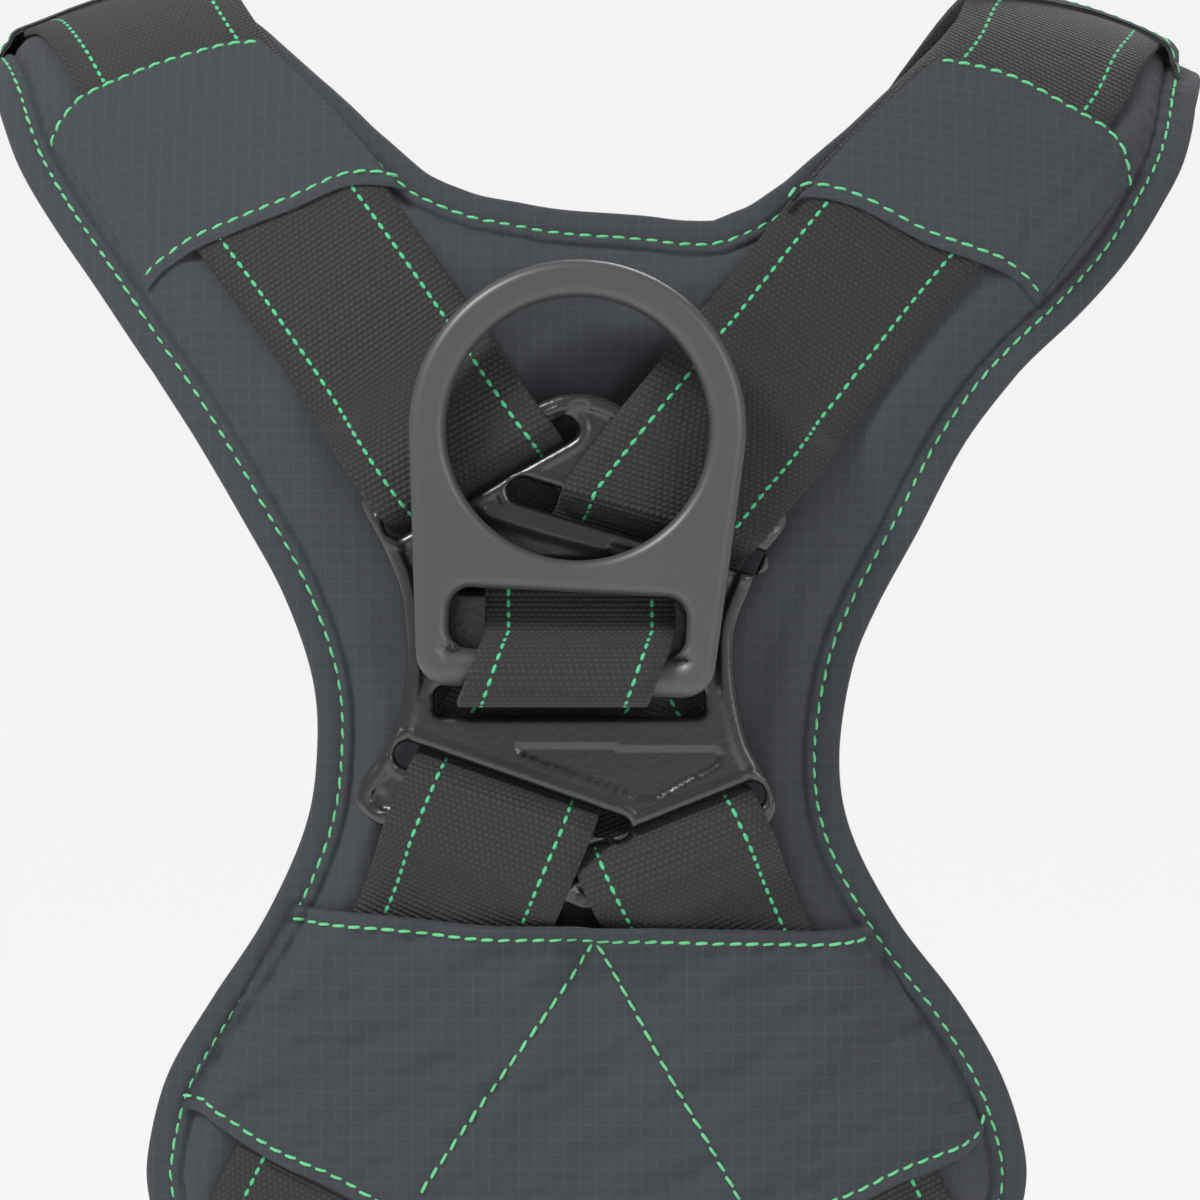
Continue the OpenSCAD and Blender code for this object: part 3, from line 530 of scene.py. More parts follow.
def thread_material():
    t = Mat("thread", (0.085, 0.46, 0.18), 0.6, Sheen_Weight=0.2)
    t.bump(t.noise(2500, 2), 0.00006, 0.6)
    return t.m


THREAD = thread_material()

# ---------------------------------------------------------------- outlines and routes (millimetres)
NECK_RIGHT = [[0, 112], [15, 111], [24, 110], [31, 110], [33, 110.5], [37, 112.5], [41, 114.5], [46, 118.5],
              [50, 122], [55, 127.5], [60, 133], [66, 140], [74, 151], [82, 163], [91, 181], [99, 212], [102, 250],
              [84, 300], [60, 350], [42, 390], [29, 425], [26, 440], [34, 451]]
OUTER_RIGHT = [[0, -162], [38, -162], [72, -160], [93, -154], [104, -144], [109, -131], [109, -118], [103, -99],
               [92, -80], [77, -60], [66, -39], [63, -21], [66, 0], [72, 15], [82, 33], [94, 55], [109, 74],
               [123, 90], [135, 108], [144, 128], [151, 150], [155, 180], [157, 222], [154, 260], [142, 305],
               [122, 355], [102, 395], [86, 428], [82, 443], [70, 452]]
NECK_LEFT = [[0, 112], [8, 113], [15, 114.5], [24, 116.5], [31, 119.5], [33, 120.5], [37, 123], [41, 127],
             [46, 132.5], [50, 137], [55, 143.5], [60, 150], [66, 158], [74, 170], [82, 184], [89, 198], [97, 222],
             [102, 254], [84, 300], [60, 350], [42, 390], [29, 425], [26, 440], [34, 451]]
OUTER_LEFT = [[0, -162], [38, -162], [72, -160], [92, -153], [102, -143], [106, -130], [106, -118], [101, -99],
              [90, -80], [77, -60], [67, -38], [64, -20], [65, -2], [72, 18], [82, 36], [94, 56], [107, 76],
              [120, 99], [130, 118], [138, 137], [143, 155], [148, 182], [153, 222], [153, 260], [142, 305],
              [122, 355], [102, 395], [86, 428], [82, 443], [70, 452]]
LEFT = [(-x, s) for x, s in OUTER_LEFT[1:]] + [(-x, s) for x, s in NECK_LEFT[:0:-1]]
RIM = smooth(np.array(NECK_RIGHT + OUTER_RIGHT[::-1] + LEFT, float), 8, loop=True)
RIM = spaced(np.concatenate([RIM, RIM[:1]]), 1.7)[:-1]

FRONT = [[-70, 690, 13], [-61, 668, 8.4], [-57, 654, 6.3], [-56, 642, 6], [-56, 600, 6], [-56, 560, 6], [-55, 546, 4],
         [-52, 528, 1.5], [-48, 500, 1.05], [-47, 470, 1.05], [-51, 440, 1.05], [-66, 395, 1.05], [-88, 340, 1.05],
         [-110, 290, 1.05]]
TOP_LEFT = [[-118, 240, 1.05], [-113, 212, 1.05], [-107, 187, 1.05], [-99, 163, 1.05], [-84.5, 134, 1.05],
            [-70, 112, 1.05]]
TOP_RIGHT = [[123, 240, 1.05], [122, 212, 1.05], [117, 188, 1.05], [110, 163, 1.05], [93, 134, 1.05],
             [75, 110, 1.05]]
OVER_LEFT = [[-51, 83.5, 1.1], [-43.8, 73, 3], [-38.3, 65.2, 7.6, 31], [-33, 57.6, 11.15, 29.4],
             [-28.4, 50.8, 11.25, 29.4], [-26.3, 48, 10.8, 29.4], [-25, 46.2, 9, 29.4], [-24.4, 45.3, 7, 29.4],
             [-23.8, 44.4, 5, 29.4], [-22.4, 42, 2.8, 29.4], [-19.5, 36.5, 1.2, 29], [-12, 22, 1.05, 28],
             [-2, 3, 1.05, 27], [9, -18, 1.05, 24], [15.3, -29.5, 1.2, 22], [17.6, -33.5, 2.8, 22],
             [18.6, -35.6, 5, 22], [19, -36.6, 7, 22], [19.4, -37.6, 9, 22], [20.2, -39.4, 10.8, 22],
             [21.2, -41.8, 11.25, 22], [23.4, -46.6, 11.15, 22], [25.8, -51.6, 7.4, 23], [28, -56.2, 3.8, 24],
             [30.6, -61.8, 1.8], [34, -69, 1.05], [48, -97, 1.05], [62, -125, 1.05]]
OVER_RIGHT = [[52, 79, 1.3], [44, 69.5, 4], [38, 62, 8.2, -28], [33, 56, 11.1, -24], [27, 48.5, 11.25, -19],
              [19.6, 38.6, 11.25, -16.9], [18.3, 36.6, 10.8, -16.9], [17.4, 35.1, 9, -16.9], [17, 34.3, 7, -16.9],
              [16.6, 33.5, 5.2, -16.9], [15.4, 31, 3.6, -17], [12.6, 26, 3.05, -17.5], [6, 12, 3.05, -18],
              [-4, -4, 3.05, -19], [-13, -19, 3.1, -19.3], [-15.5, -23.6, 3.7, -19.3], [-16.6, -26, 5.2, -19.3],
              [-17, -27.2, 7, -19.3], [-17.4, -28.3, 9, -19.3], [-18.1, -30.2, 10.8, -19.3], [-19, -32.5, 11.25, -19.5],
              [-23.6, -43.6, 11.15, -22], [-25.8, -49, 7.6, -22], [-27.8, -53.8, 4, -22], [-30.2, -59.6, 1.9],
              [-33.4, -66.5, 1.05], [-47, -95, 1.05], [-60.5, -122, 1.05]]
HIP = [[78, -160, 1.05], [94, -200, 1.2], [101, -225, 0.6]]
SIDES = {"left": (FRONT + TOP_LEFT, OVER_LEFT, HIP, -1),
         "right": ([[-r[0] - 3 * (430 < r[1] < 540), r[1], r[2]] for r in FRONT] + TOP_RIGHT, OVER_RIGHT,
                   [[-r[0], r[1], r[2]] for r in HIP], 1)}
PLATE_RIM = [[-8, 64.5], [-2, 66], [4, 65.5], [10, 63], [24, 55], [38, 46], [46, 42], [48.5, 39.5], [49, 35.5],
             [47, 32], [43.5, 27.5], [40, 19], [37, 11], [36.5, 3], [37.5, -7], [40, -17], [45, -26.5], [46.5, -31],
             [46, -34], [43.5, -37], [38, -39.5], [20, -47.5], [8, -54], [3, -56], [-2, -55], [-10, -51.5],
             [-28, -44.5], [-43, -37.5], [-48, -36], [-51.5, -33.5], [-53, -30.5], [-51.5, -25], [-46.5, -18.5],
             [-42.5, -9], [-41, 3], [-41.5, 11.5], [-43, 20.5], [-47, 30], [-51, 37.5], [-52, 41], [-50, 44],
             [-46, 46], [-38, 50], [-22, 58]]
SLOTS = [[[-43.5, 35], [-3.5, 57.5]], [[-14, 43], [42, 26]], [[-41, -19.5], [9, -37]], [[-3, -46.5], [41, -29]]]


def strap_rows(route, width, k):
    n, full = len(route) - 1, []
    for i, r in enumerate(route):
        a, b = route[max(i - 1, 0)], route[min(i + 1, n)]
        own = math.degrees(math.atan2(b[0] - a[0], a[1] - b[1]))
        turn = r[3] if len(r) > 3 else own
        full.append([r[0], r[1], r[2], turn, width / 2 / math.cos(math.radians(turn - own))])
    return smooth(np.array(full, float), k)


def line_distance(px, line):
    """Distance to an open line, and the length along it."""
    best, along = np.full(len(px), 1e9), np.zeros(len(px))
    for i in range(0, len(px), CHUNK):
        best[i : i + CHUNK], along[i : i + CHUNK] = nearest(px[i : i + CHUNK], line[:-1], line[1:] - line[:-1])
    return best, along


ROWS = {k: strap_rows(f + o + h, WEB_WIDTH, 6) for k, (f, o, h, _) in SIDES.items()}
LINES = [spaced(r[:, :2], 4) for r in ROWS.values()]
ZONES = [(q[:, :2], q[:, 2]) for q in (spaced(r[:, :3], 3) for r in ROWS.values())]


def strap_gap(px):
    """Distance to the nearer strap's middle line."""
    return np.minimum(line_distance(px, LINES[0])[0], line_distance(px, LINES[1])[0])


def pad_top(px, dd=None, along=None):
    """Offset of the pad's cloth from the design face."""
    px = np.asarray(px, float)
    if dd is None:
        dd, along, ins = edge_distance(px, [RIM])
        dd = np.where(ins, dd, 0)
    x, s = px[:, 0], px[:, 1]
    d = np.where(dd < 1.3, -4.1 + 1.9 * np.sqrt(np.clip(1 - (1 - dd / 1.3) ** 2, 0, 1)), -2.2)
    crown = 2.7 * ease((dd - 9.3) / 8.5) ** 0.8
    free = ease((dd - 10) / 9)
    d = d + crown + free * (0.75 * waves(x, s, 3, 62, 2) + 0.28 * waves(x, s * 0.6, 5, 17, 2))
    d -= 0.55 * np.exp(-(((dd - 6.5) / 0.8) ** 2)) + 1.0 * np.exp(-(((dd - 9.5) / 0.75) ** 2))
    pucker = np.sin(2 * math.pi * along / 8.0 + 1.5 * waves(x, s, 9, 40, 1))
    dimple = np.sin(2 * math.pi * along / 4.0)
    d += 0.22 * pucker * np.exp(-(((dd - 9.5) / 4.5) ** 2)) + 0.12 * dimple * np.exp(-(((dd - 6.5) / 2) ** 2))
    g = strap_gap(px)
    under = 1 - ease((g - 21.5) / 6)
    d += 1.0 * np.exp(-(((g - 30) / 5.5) ** 2)) * free
    return np.where(under > 0, np.minimum(d, d * (1 - under) - 0.15 * under), d)


def slabbed(name, loops, insets, grid, place, top, low, material, **more):
    """A closed solid over a flat outline: top and low give the two faces' heights and meet at the rim."""
    v, f, dd, along, rim = field(loops, insets, grid)
    a, b, c = (v[f[:, k]] for k in range(3))
    turn = (b[:, 0] - a[:, 0]) * (c[:, 1] - a[:, 1]) - (b[:, 1] - a[:, 1]) * (c[:, 0] - a[:, 0])
    f = np.where((turn < 0)[:, None], f[:, ::-1], f)
    f = f[np.abs(turn) > 1e-6]
    hi, lo = top(v, dd, along), low(v, dd, along)
    mid = (hi + lo) / 2
    up = place(v[:, 0], v[:, 1], np.where(rim, mid, hi))
    down = place(v[~rim, 0], v[~rim, 1], lo[~rim])
    index = np.arange(len(v))
    index[~rim] = len(v) + np.arange((~rim).sum())
    faces = np.concatenate([f, index[f][:, ::-1]])
    uv = np.concatenate([v, v[~rim]])
    o = piece(name, np.concatenate([up, down]), faces, material, uv=uv, **more)
    return o, len(f)


# ---------------------------------------------------------------- the padded yoke
def low_face(v, dd, along):
    return -11.5 + 5.4 * (1 - ease(dd / 14)) + 0.35 * ease((dd - 8) / 8) * waves(v[:, 0], v[:, 1], 21, 50, 2)


# Rows of points close together at the rim, the edge stitching and the binding's inner edge
PAD_INSETS = [0.25, 0.7, 1.3, 2.6, 4.2, 5.4, 6.0, 6.5, 7.0, 7.8, 8.6, 9.1, 9.5, 9.9, 10.5, 11.6, 13.2]
pad, split = slabbed("yoke_pad", [RIM], PAD_INSETS, 2.1,
                     skin, pad_top, low_face, CLOTH,
                     replaces=("pad_cover", "pad_foam", "pad_lining", "pad_binding"), slot="pad_cloth")
pad.data.materials.append(MESH)
index = np.zeros(len(pad.data.polygons), np.int32)
index[split:] = 1
pad.data.polygons.foreach_set("material_index", index)


def on_pad(line, lift, step=1.2, extra=None):
    """A line drawn on the pad, as points in space and normals."""
    q = spaced(smooth(np.array(line, float), 8), step)
    d = pad_top(q) + lift if extra is None else extra(q) + lift
    p = skin(q[:, 0], q[:, 1], d)
    return p, skin(q[:, 0], q[:, 1], d + 1) - p


def sew(name, line, lift=0.0, extra=None):
    p, n = on_pad(line, lift, extra=extra)
    return stitches(name, p, n)


def inset_line(loop, d, step=2):
    """The loop moved inwards, in as many runs as it takes to skip its tight corners."""
    v = np.roll(loop, -1, 0) - np.roll(loop, 1, 0)
    v /= np.linalg.norm(v, axis=1, keepdims=True)
    q = (loop + d * np.stack([v[:, 1], -v[:, 0]], 1))[::step]
    dist, _, ins = edge_distance(q, [loop])
    return q[ins & (dist > d - 0.15)]


EDGE = inset_line(RIM, 6.5)
EDGE = np.concatenate([EDGE, EDGE[:1]])
sew("edge_stitching", EDGE)


# ---------------------------------------------------------------- cloth sleeves over the webbing
def over(px, seed=0, loose=0.45):
    """Offset of cloth laid over the pad and the webbing."""
    px = np.asarray(px, float)
    x, s = px[:, 0], px[:, 1]
    base = pad_top(px) + 0.75
    folds = 0.8 * waves(x, s, 31 + seed, 34, 2) + 0.3 * waves(x, s, 37 + seed, 11, 2)
    d = base + loose * folds * ease((base + 2.2) / 1.5)
    for line, rise in ZONES:
        gap, along = line_distance(px, line)
        top = np.interp(along, lengths(line), rise) + 0.95
        k = 1 - ease((gap - 23) / 8)
        lift = top + 0.7 + loose * 0.6 * (0.5 + 0.5 * waves(x, s, 41 + seed, 30, 2))
        d = np.maximum(d, d * (1 - k) + lift * k)
    return d


def by_share(line, n):
    """n points at even shares of a line's length."""
    q = spaced(smooth(np.array(line, float), 10), 0.5)
    return q[np.round(np.linspace(0, 1, n) * (len(q) - 1)).astype(int)]


def hem(d, w):
    """The offset d with a folded hem, w in from the cloth's edge."""
    return (d + 0.55 * (1 - ease((w - 3.0) / 1.6)) - 0.35 * np.exp(-(((w - 3.3) / 0.7) ** 2))
            - 0.5 * np.clip(1 - w / 0.8, 0, 1) ** 2)


def cloth_sheet(name, low, high, n, m, height, flat, thick=0.8, hem_high=False, replaces=()):
    """A sheet between two lines drawn on the back, as a closed thin solid with folded hems."""
    a, b = by_share(low, n), by_share(high, n)
    v = np.linspace(0, 1, m)[None, :, None]
    q = a[:, None] * (1 - v) + b[:, None] * v
    w = np.linalg.norm(b - a, axis=1)[:, None] * np.linspace(0, 1, m)[None]
    far = np.linalg.norm(b - a, axis=1)[:, None] - w
    d = height(q.reshape(-1, 2)).reshape(n, m)
    d = hem(d, w)
    if hem_high:
        d = hem(d, far)
    up = skin(q[..., 0], q[..., 1], d)
    down = skin(q[..., 0], q[..., 1], d - thick)
    verts = np.concatenate([up.reshape(-1, 3), down.reshape(-1, 3)])
    f = grid_faces(n, m)
    o = n * m
    sides = []
    for i in range(n - 1):
        sides += [(i * m, (i + 1) * m, o + (i + 1) * m, o + i * m)]
        sides += [(i * m + m - 1, o + i * m + m - 1, o + (i + 1) * m + m - 1, (i + 1) * m + m - 1)]
    for j in range(m - 1):
        sides += [(j, o + j, o + j + 1, j + 1)]
        e = (n - 1) * m + j
        sides += [(e, e + 1, o + e + 1, o + e)]
    faces = np.concatenate([f[:, ::-1], f + o, np.array(sides)])
    uv = np.concatenate([q.reshape(-1, 2)] * 2)
    s = piece(name, verts, faces, CLOTH, uv=uv, replaces=replaces, slot="pad_cloth")
    return s


def row_area(low, high, n=60):
    a, b = by_share(low, n), by_share(high, n)
    steps = np.linalg.norm(np.diff((a + b) / 2, axis=0), axis=1)
    return float(np.sum(steps * np.linalg.norm(b - a, axis=1)[1:])) * 1e-6


SLEEVES = {
    "shoulder_sleeve_left": ([[-105, 95], [-94, 103], [-82, 108], [-68, 113], [-55, 118], [-43, 117]],
                             [[-131, 147], [-126, 154], [-119, 160], [-102, 165], [-86, 167], [-78, 166]]),
    "shoulder_sleeve_right": ([[49, 111], [54, 115], [66, 113], [82, 105], [95, 101], [103, 98], [111, 91]],
                              [[87, 162], [97, 162], [107, 160], [119, 154], [129, 148], [136, 134]]),
    "top_sleeve_left": ([[-151, 226], [-135, 230], [-120, 228], [-105, 222], [-93, 216]],
                        [[-151, 276], [-135, 278], [-120, 278], [-105, 277], [-94, 276]]),
    "top_sleeve_right": ([[94, 195], [99, 195], [117, 208], [134, 219], [143, 211], [150, 193]],
                         [[95, 250], [105, 254], [117, 256], [134, 257], [143, 257], [150, 256]]),
}
for i, (name, (low, high)) in enumerate(SLEEVES.items()):
    def height(px, i=i):
        return over(px, i)
    area = row_area(low, high)
    cloth_sheet(name, low, high, 90, 70, height, (round(area / 0.055, 3), 0.055), replaces=(name,))
    shift = lambda line, k: [[x, s + k] for x, s in line]
    sew(name + "_hem", shift(low, 3.3), 0.3, extra=height)
    sew(name + "_top_seam", shift(high, -1.5), 0.2, extra=height)

# lumbar sleeve, with a stitched V where the two straps part
TOP_FOLD = [[-69, -56], [-62, -57], [-45, -58], [-23, -60], [2, -60], [28, -61], [45, -61.5], [57, -62], [69, -61]]
LOW_FOLD = [[-97, -107], [-90, -108], [-80, -114], [-71, -119], [-59, -124], [-48, -130], [-30, -140], [0, -150],
            [30, -141], [48, -134], [64, -129], [75, -124], [84, -121], [95, -117], [98, -112]]
VEE = {"left": [[3, -64], [-3, -74], [-12, -87], [-26, -107], [-38, -125], [-46, -137]],
       "right": [[4, -64], [11, -77], [21, -96], [30, -112], [38, -127], [44, -137]]}
VLINES = [spaced(smooth(np.array(v, float), 8), 2) for v in VEE.values()]


def lumbar_height(px):
    d = over(px, 9, 0.7)
    for line in VLINES:
        d = d - 0.75 * np.exp(-((line_distance(px, line)[0] / 1.6) ** 2))
    crease = 0.5 + 0.5 * waves((px[:, 0] + 0.5 * px[:, 1]) / 3.2, px[:, 1] - 0.4 * px[:, 0], 57, 13, 2)
    return d + 0.5 * np.exp(-(((px[:, 1] + 62) / 9) ** 2)) + 1.6 * crease


cloth_sheet("lumbar_sleeve_cloth", LOW_FOLD, TOP_FOLD, 170, 90, lumbar_height,
            (round(row_area(LOW_FOLD, TOP_FOLD) / 0.075, 3), 0.075), hem_high=True, replaces=("lumbar_sleeve",))
sew("lumbar_top_seam", [[x, s - 3.3] for x, s in TOP_FOLD], 0.3, extra=lumbar_height)
sew("lumbar_hem_seam", [[x, s + 3.3] for x, s in LOW_FOLD], 0.3, extra=lumbar_height)
for k, v in VEE.items():
    sew("lumbar_vee_" + k, v[:-1], 0.3, extra=lumbar_height)

# ---------------------------------------------------------------- the two main straps
COLS = np.linspace(-1, 1, 11)
for k, (f, o, h, side) in SIDES.items():
    r = ROWS[k]
    w = r[:, 4:5] * COLS
    t = np.radians(r[:, 3:4])
    mid = skin(r[:, 0:1] + w * np.cos(t), r[:, 1:2] + w * np.sin(t), r[:, 2:3] + 0 * w)
    ends = []
    for rows, front in (([(side * 70, z) for z in (-318, -304, -290, -276, -266)], 1),
                        ([(side * min(-104, -96 + z / 36), z) for z in (-244, -258, -272, -288, -303, -318)], -1)):
        ends.append(np.array([belt(belt_turn(x + HALF_WEB * COLS, front), z, 1.08) for x, z in rows]))
    grid = np.concatenate([finer(ends[0], 3), finer(np.stack([ends[0][-1], mid[0]]), 6)[1:-1], mid,
                           finer(np.stack([mid[-1], ends[1][0]]), 4)[1:-1], finer(ends[1], 3)])
    ribbon("main_strap_" + k + "_web", grid, WEB, replaces=("main_strap_" + k,))

# ---------------------------------------------------------------- moulded plate
def plate_place(x, z, d):
    return np.stack([x, BACK_Y + BACK_R - np.sqrt((BACK_R + d) ** 2 - x * x) + 0 * z, z], -1)


def stadium(a, b, w, n=14):
    a, b = np.array(a, float), np.array(b, float)
    v = b - a
    t = math.atan2(v[1], v[0])
    out = []
    for c, s in ((b, -math.pi / 2), (a, math.pi / 2)):
        for i in range(n + 1):
            q = t + s + math.pi * i / n
            out.append(c + w / 2 * np.array([math.cos(q), math.sin(q)]))
    return spaced(np.array(out + out[:1]), 0.8)[:-1]


def round_rect(x0, x1, y0, y1, r, n=6):
    out = []
    for cx, cy, s in ((x1 - r, y0 + r, -90), (x1 - r, y1 - r, 0), (x0 + r, y1 - r, 90), (x0 + r, y0 + r, 180)):
        for i in range(n + 1):
            q = math.radians(s + 90 * i / n)
            out.append((cx + r * math.cos(q), cy + r * math.sin(q)))
    return spaced(np.array(out + out[:1]), 0.8)[:-1]


PLATE_LOOPS = [spaced(np.concatenate([smooth(np.array(PLATE_RIM, float), 8, True), [PLATE_RIM[0]]]), 0.9)[:-1]]
for a, b in SLOTS:
    PLATE_LOOPS.append(stadium(a, b, 6))
PLATE_LOOPS += [round_rect(-34.5, 29.5, -10.5, -3.5, 2), round_rect(-29.5, 22.5, 19.5, 26, 2)]
TRI = [[-15, -17.5], [32, -18], [33.8, -19.8], [32.5, -22], [18, -30], [14.5, -30], [-15, -19], [-15, -17.5]]
TRI = spaced(np.array(TRI, float), 0.8)
RIDGE = np.array([[-22, 37.5], [6, 29.5]], float)


def plate_top(v, dd, along):
    rim = edge_distance(v, PLATE_LOOPS[:1])[0]
    h = 8.2 + 1.8 * np.sqrt(np.clip(1 - (1 - np.minimum(dd, 1.8) / 1.8) ** 2, 0, 1))
    h += 1.0 * (1 - ease((rim - 3.0) / 1.4))
    holes = edge_distance(v, PLATE_LOOPS[1:5])[0]
    h += 0.45 * (1 - ease((holes - 2.2) / 1.0))
    t, _, ins = edge_distance(v, [TRI])
    h -= np.where(ins, 0.9 * ease(t / 1.8), 0)
    h += 1.0 * np.exp(-((line_distance(v, RIDGE)[0] / 1.9) ** 2))
    for c in ((46, 36), (-46.5, 39.5), (42, -32.5), (-48, -30.5), (0, 62), (1, -52.5)):
        r = np.hypot(v[:, 0] - c[0], v[:, 1] - c[1])
        h -= 0.5 * (1 - ease((r - 2.2) / 0.8))
    return h


slabbed("dorsal_plate_moulding", PLATE_LOOPS, [0.08, 0.25, 0.5, 0.85, 1.3, 1.8, 2.4, 3.0, 3.6, 4.2], 0.85,
        plate_place, plate_top,
        lambda v, dd, along: 6.9 - 0.9 * np.sqrt(np.clip(1 - (1 - np.minimum(dd, 0.9) / 0.9) ** 2, 0, 1)),
        PLATE, replaces=("dorsal_plate",), slot="moulded_plate")

# ---------------------------------------------------------------- dorsal ring
BAR = (-3.5, -147.5, 0.0)
FOOT_X, EYE_Z = 27.3, 57.5  # the middles of the two feet and of the eye, from the bar


def ring_place(x, z, h):
    c, s = math.cos(math.radians(3)), math.sin(math.radians(3))
    return np.stack([BAR[0] + x * c + z * s, BAR[1] - h + 0 * x, -x * s + z * c], -1)


def ring_outline():
    big, low, cy = 39.7, 8.0, 3.5
    rx, ry = -FOOT_X, EYE_Z - cy
    turn = math.atan2(ry, rx) - math.acos((low - big) / math.hypot(rx, ry))
    out = [(-FOOT_X + low * math.cos(a), cy + low * math.sin(a)) for a in np.linspace(-math.pi, -math.pi / 2, 10)]
    out += [(FOOT_X + low * math.cos(a), cy + low * math.sin(a)) for a in np.linspace(-math.pi / 2, turn, 20)]
    out += [(big * math.cos(a), EYE_Z + big * math.sin(a)) for a in np.linspace(turn, math.pi - turn, 90)]
    out += [(-FOOT_X + low * math.cos(a), cy + low * math.sin(a)) for a in np.linspace(math.pi - turn, math.pi, 12)]
    return spaced(np.array(out + out[:1]), 1.0)[:-1]


EYE = np.array([(31 * math.cos(a), EYE_Z + 31 * math.sin(a))
                for a in np.linspace(0, 2 * math.pi, 200, endpoint=False)])
RING_LOOPS = [ring_outline(), EYE, round_rect(-28, 28, 4.5, 19, 5, 10)]


def ring_top(v, dd, along):
    r = 2.6
    h = 5 - r + np.sqrt(np.clip(r * r - (r - np.minimum(dd, r)) ** 2, 0, None))
    x, z = v[:, 0], v[:, 1]
    bar = np.sqrt(np.clip(4.5**2 - z * z, 0.0, None))
    k = (1 - ease((np.abs(x) - 26) / 5)) * (1 - ease((z - 4.4) / 1.0))
    return h * (1 - k) + np.minimum(h, bar) * k


slabbed("dorsal_ring_forging", RING_LOOPS, [0.02, 0.12, 0.35, 0.7, 1.15, 1.7, 2.25, 2.6, 3.2], 1.6,
        ring_place, ring_top, lambda v, dd, along: -ring_top(v, dd, along), RING,
        body="dorsal_ring", replaces=("dorsal_ring",), slot="forged_ring")

LOOP = [[10, 4.95, 1], [4, 4.95, 1], [-2, 4.95, 1], [-4.3, 5.3, 1], [-5.8, 6.8, 0.9], [-6.2, 9, 0.7], [-6.6, 12, 0.4],
        [-7.2, 15, 0.1], [-6.9, 18.4, 0], [-5.1, 22, 0], [0, 24.2, 0], [5.1, 22, 0], [7.1, 18.3, 0], [9.4, 15.4, 0.1],
        [13, 12.6, 0.5], [17, 11.3, 0.9], [19, 11.2, 1], [21, 10.5, 1], [22.2, 9, 1], [22.3, 7, 1], [21.4, 5.5, 1],
        [19, 4.95, 1], [15, 4.95, 1], [11.5, 4.95, 1]]
rows = smooth(np.array(LOOP, float), 6)
x = BAR[0] + 0.4 * np.minimum(rows[:, 0:1], 9) - HALF_WEB * COLS
sag = BACK_R - np.sqrt(BACK_R**2 - x * x)
grid = np.stack([x, BACK_Y - rows[:, 1:2] + rows[:, 2:3] * sag, rows[:, 0:1] + 0 * x], -1)
ribbon("ring_strap_web", grid, WEB, replaces=("ring_strap",))

# ---------------------------------------------------------------- buckles, their straps and the CAD hardware
def flat_path(path):
    """Wide webbing that follows a path drawn from above."""
    p = smooth(np.array(path, float), 6)
    z = HALF_WEB * COLS
    return np.stack(np.broadcast_arrays(p[:, 0:1], p[:, 1:2], z), -1)


HOLD = [[-62, 3.6], [-57, 4.8], [-52, 8.4], [-46.5, 9.8], [-42.5, 8], [-41.2, 5.5], [-42.2, 3], [-46, 1.4], [-54, 1.2]]
PULL = [[128, 1.2], [100, 1.2], [60, 1.2], [39, 1.2], [30, 1.5], [27, 3], [26, 5.5], [27.5, 8], [31, 9.6], [37, 9.4],
        [42, 6.6], [45, 4.2], [48, 3.4], [49.5, 3.35]]
SMALL = NARROW_WIDTH / WEB_WIDTH
tails = {"chest": [[-62, -1]] + [[(p[0] + 12) / SMALL, (p[1] - 99.8) / SMALL]
                                 for p in skin([-50, -56, -62, -67], 497, 2.75)],
         "waist": [[p[0] + 22, p[1] - 124.2] for p in belt([-141, -136, -131, -126, -121], 0, 5.5)]}
for k, (x, y, z, q, mat, tag) in {"chest": (-12, 99.8, -20, SMALL, LIGHT_WEB, "light_webbing"),
                                  "waist": (-22, 124.2, BELT_Z, 1, PLAIN_WEB, "load_webbing")}.items():
    for kind, path, body in (("fixed", HOLD + tails[k], "harness"), ("pull", PULL, k + "_tab")):
        grid = flat_path(path) * q + np.array([x, y, z])
        ribbon(f"{k}_strap_{kind}_web", grid, mat, body=body, thick=WEB_THICK * q,
               replaces=(f"{k}_strap_{kind}",), slot=tag)

# Pieces shown with the CAD's own mesh: name, material and the width of the softened edges
SHOWN = [(k + "_" + p, m, w) for k in ("chest", "waist") for p, m, w in (
    ("buckle_frame", HARD, 0.9), ("buckle_tab", HARD, 0.8), ("keeper", HARD, 0.5), ("button_upper", BUTTON, 0.8),
    ("button_lower", BUTTON, 0.8))]
SHOWN += [(k + s, HARD, 0.8) for k in ("shoulder_slider_", "leg_slider_", "side_ring_") for s in ("left", "right")]
for name, mat, width in SHOWN:
    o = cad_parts[name]
    o.data.materials.clear()
    o.data.materials.append(mat)
    if not name.startswith("side_ring"):
        b = o.modifiers.new("edges", "BEVEL")
        b.width, b.segments, b.limit_method, b.angle_limit = width * 0.001, 3, "ANGLE", math.radians(40)
        b.harden_normals = True

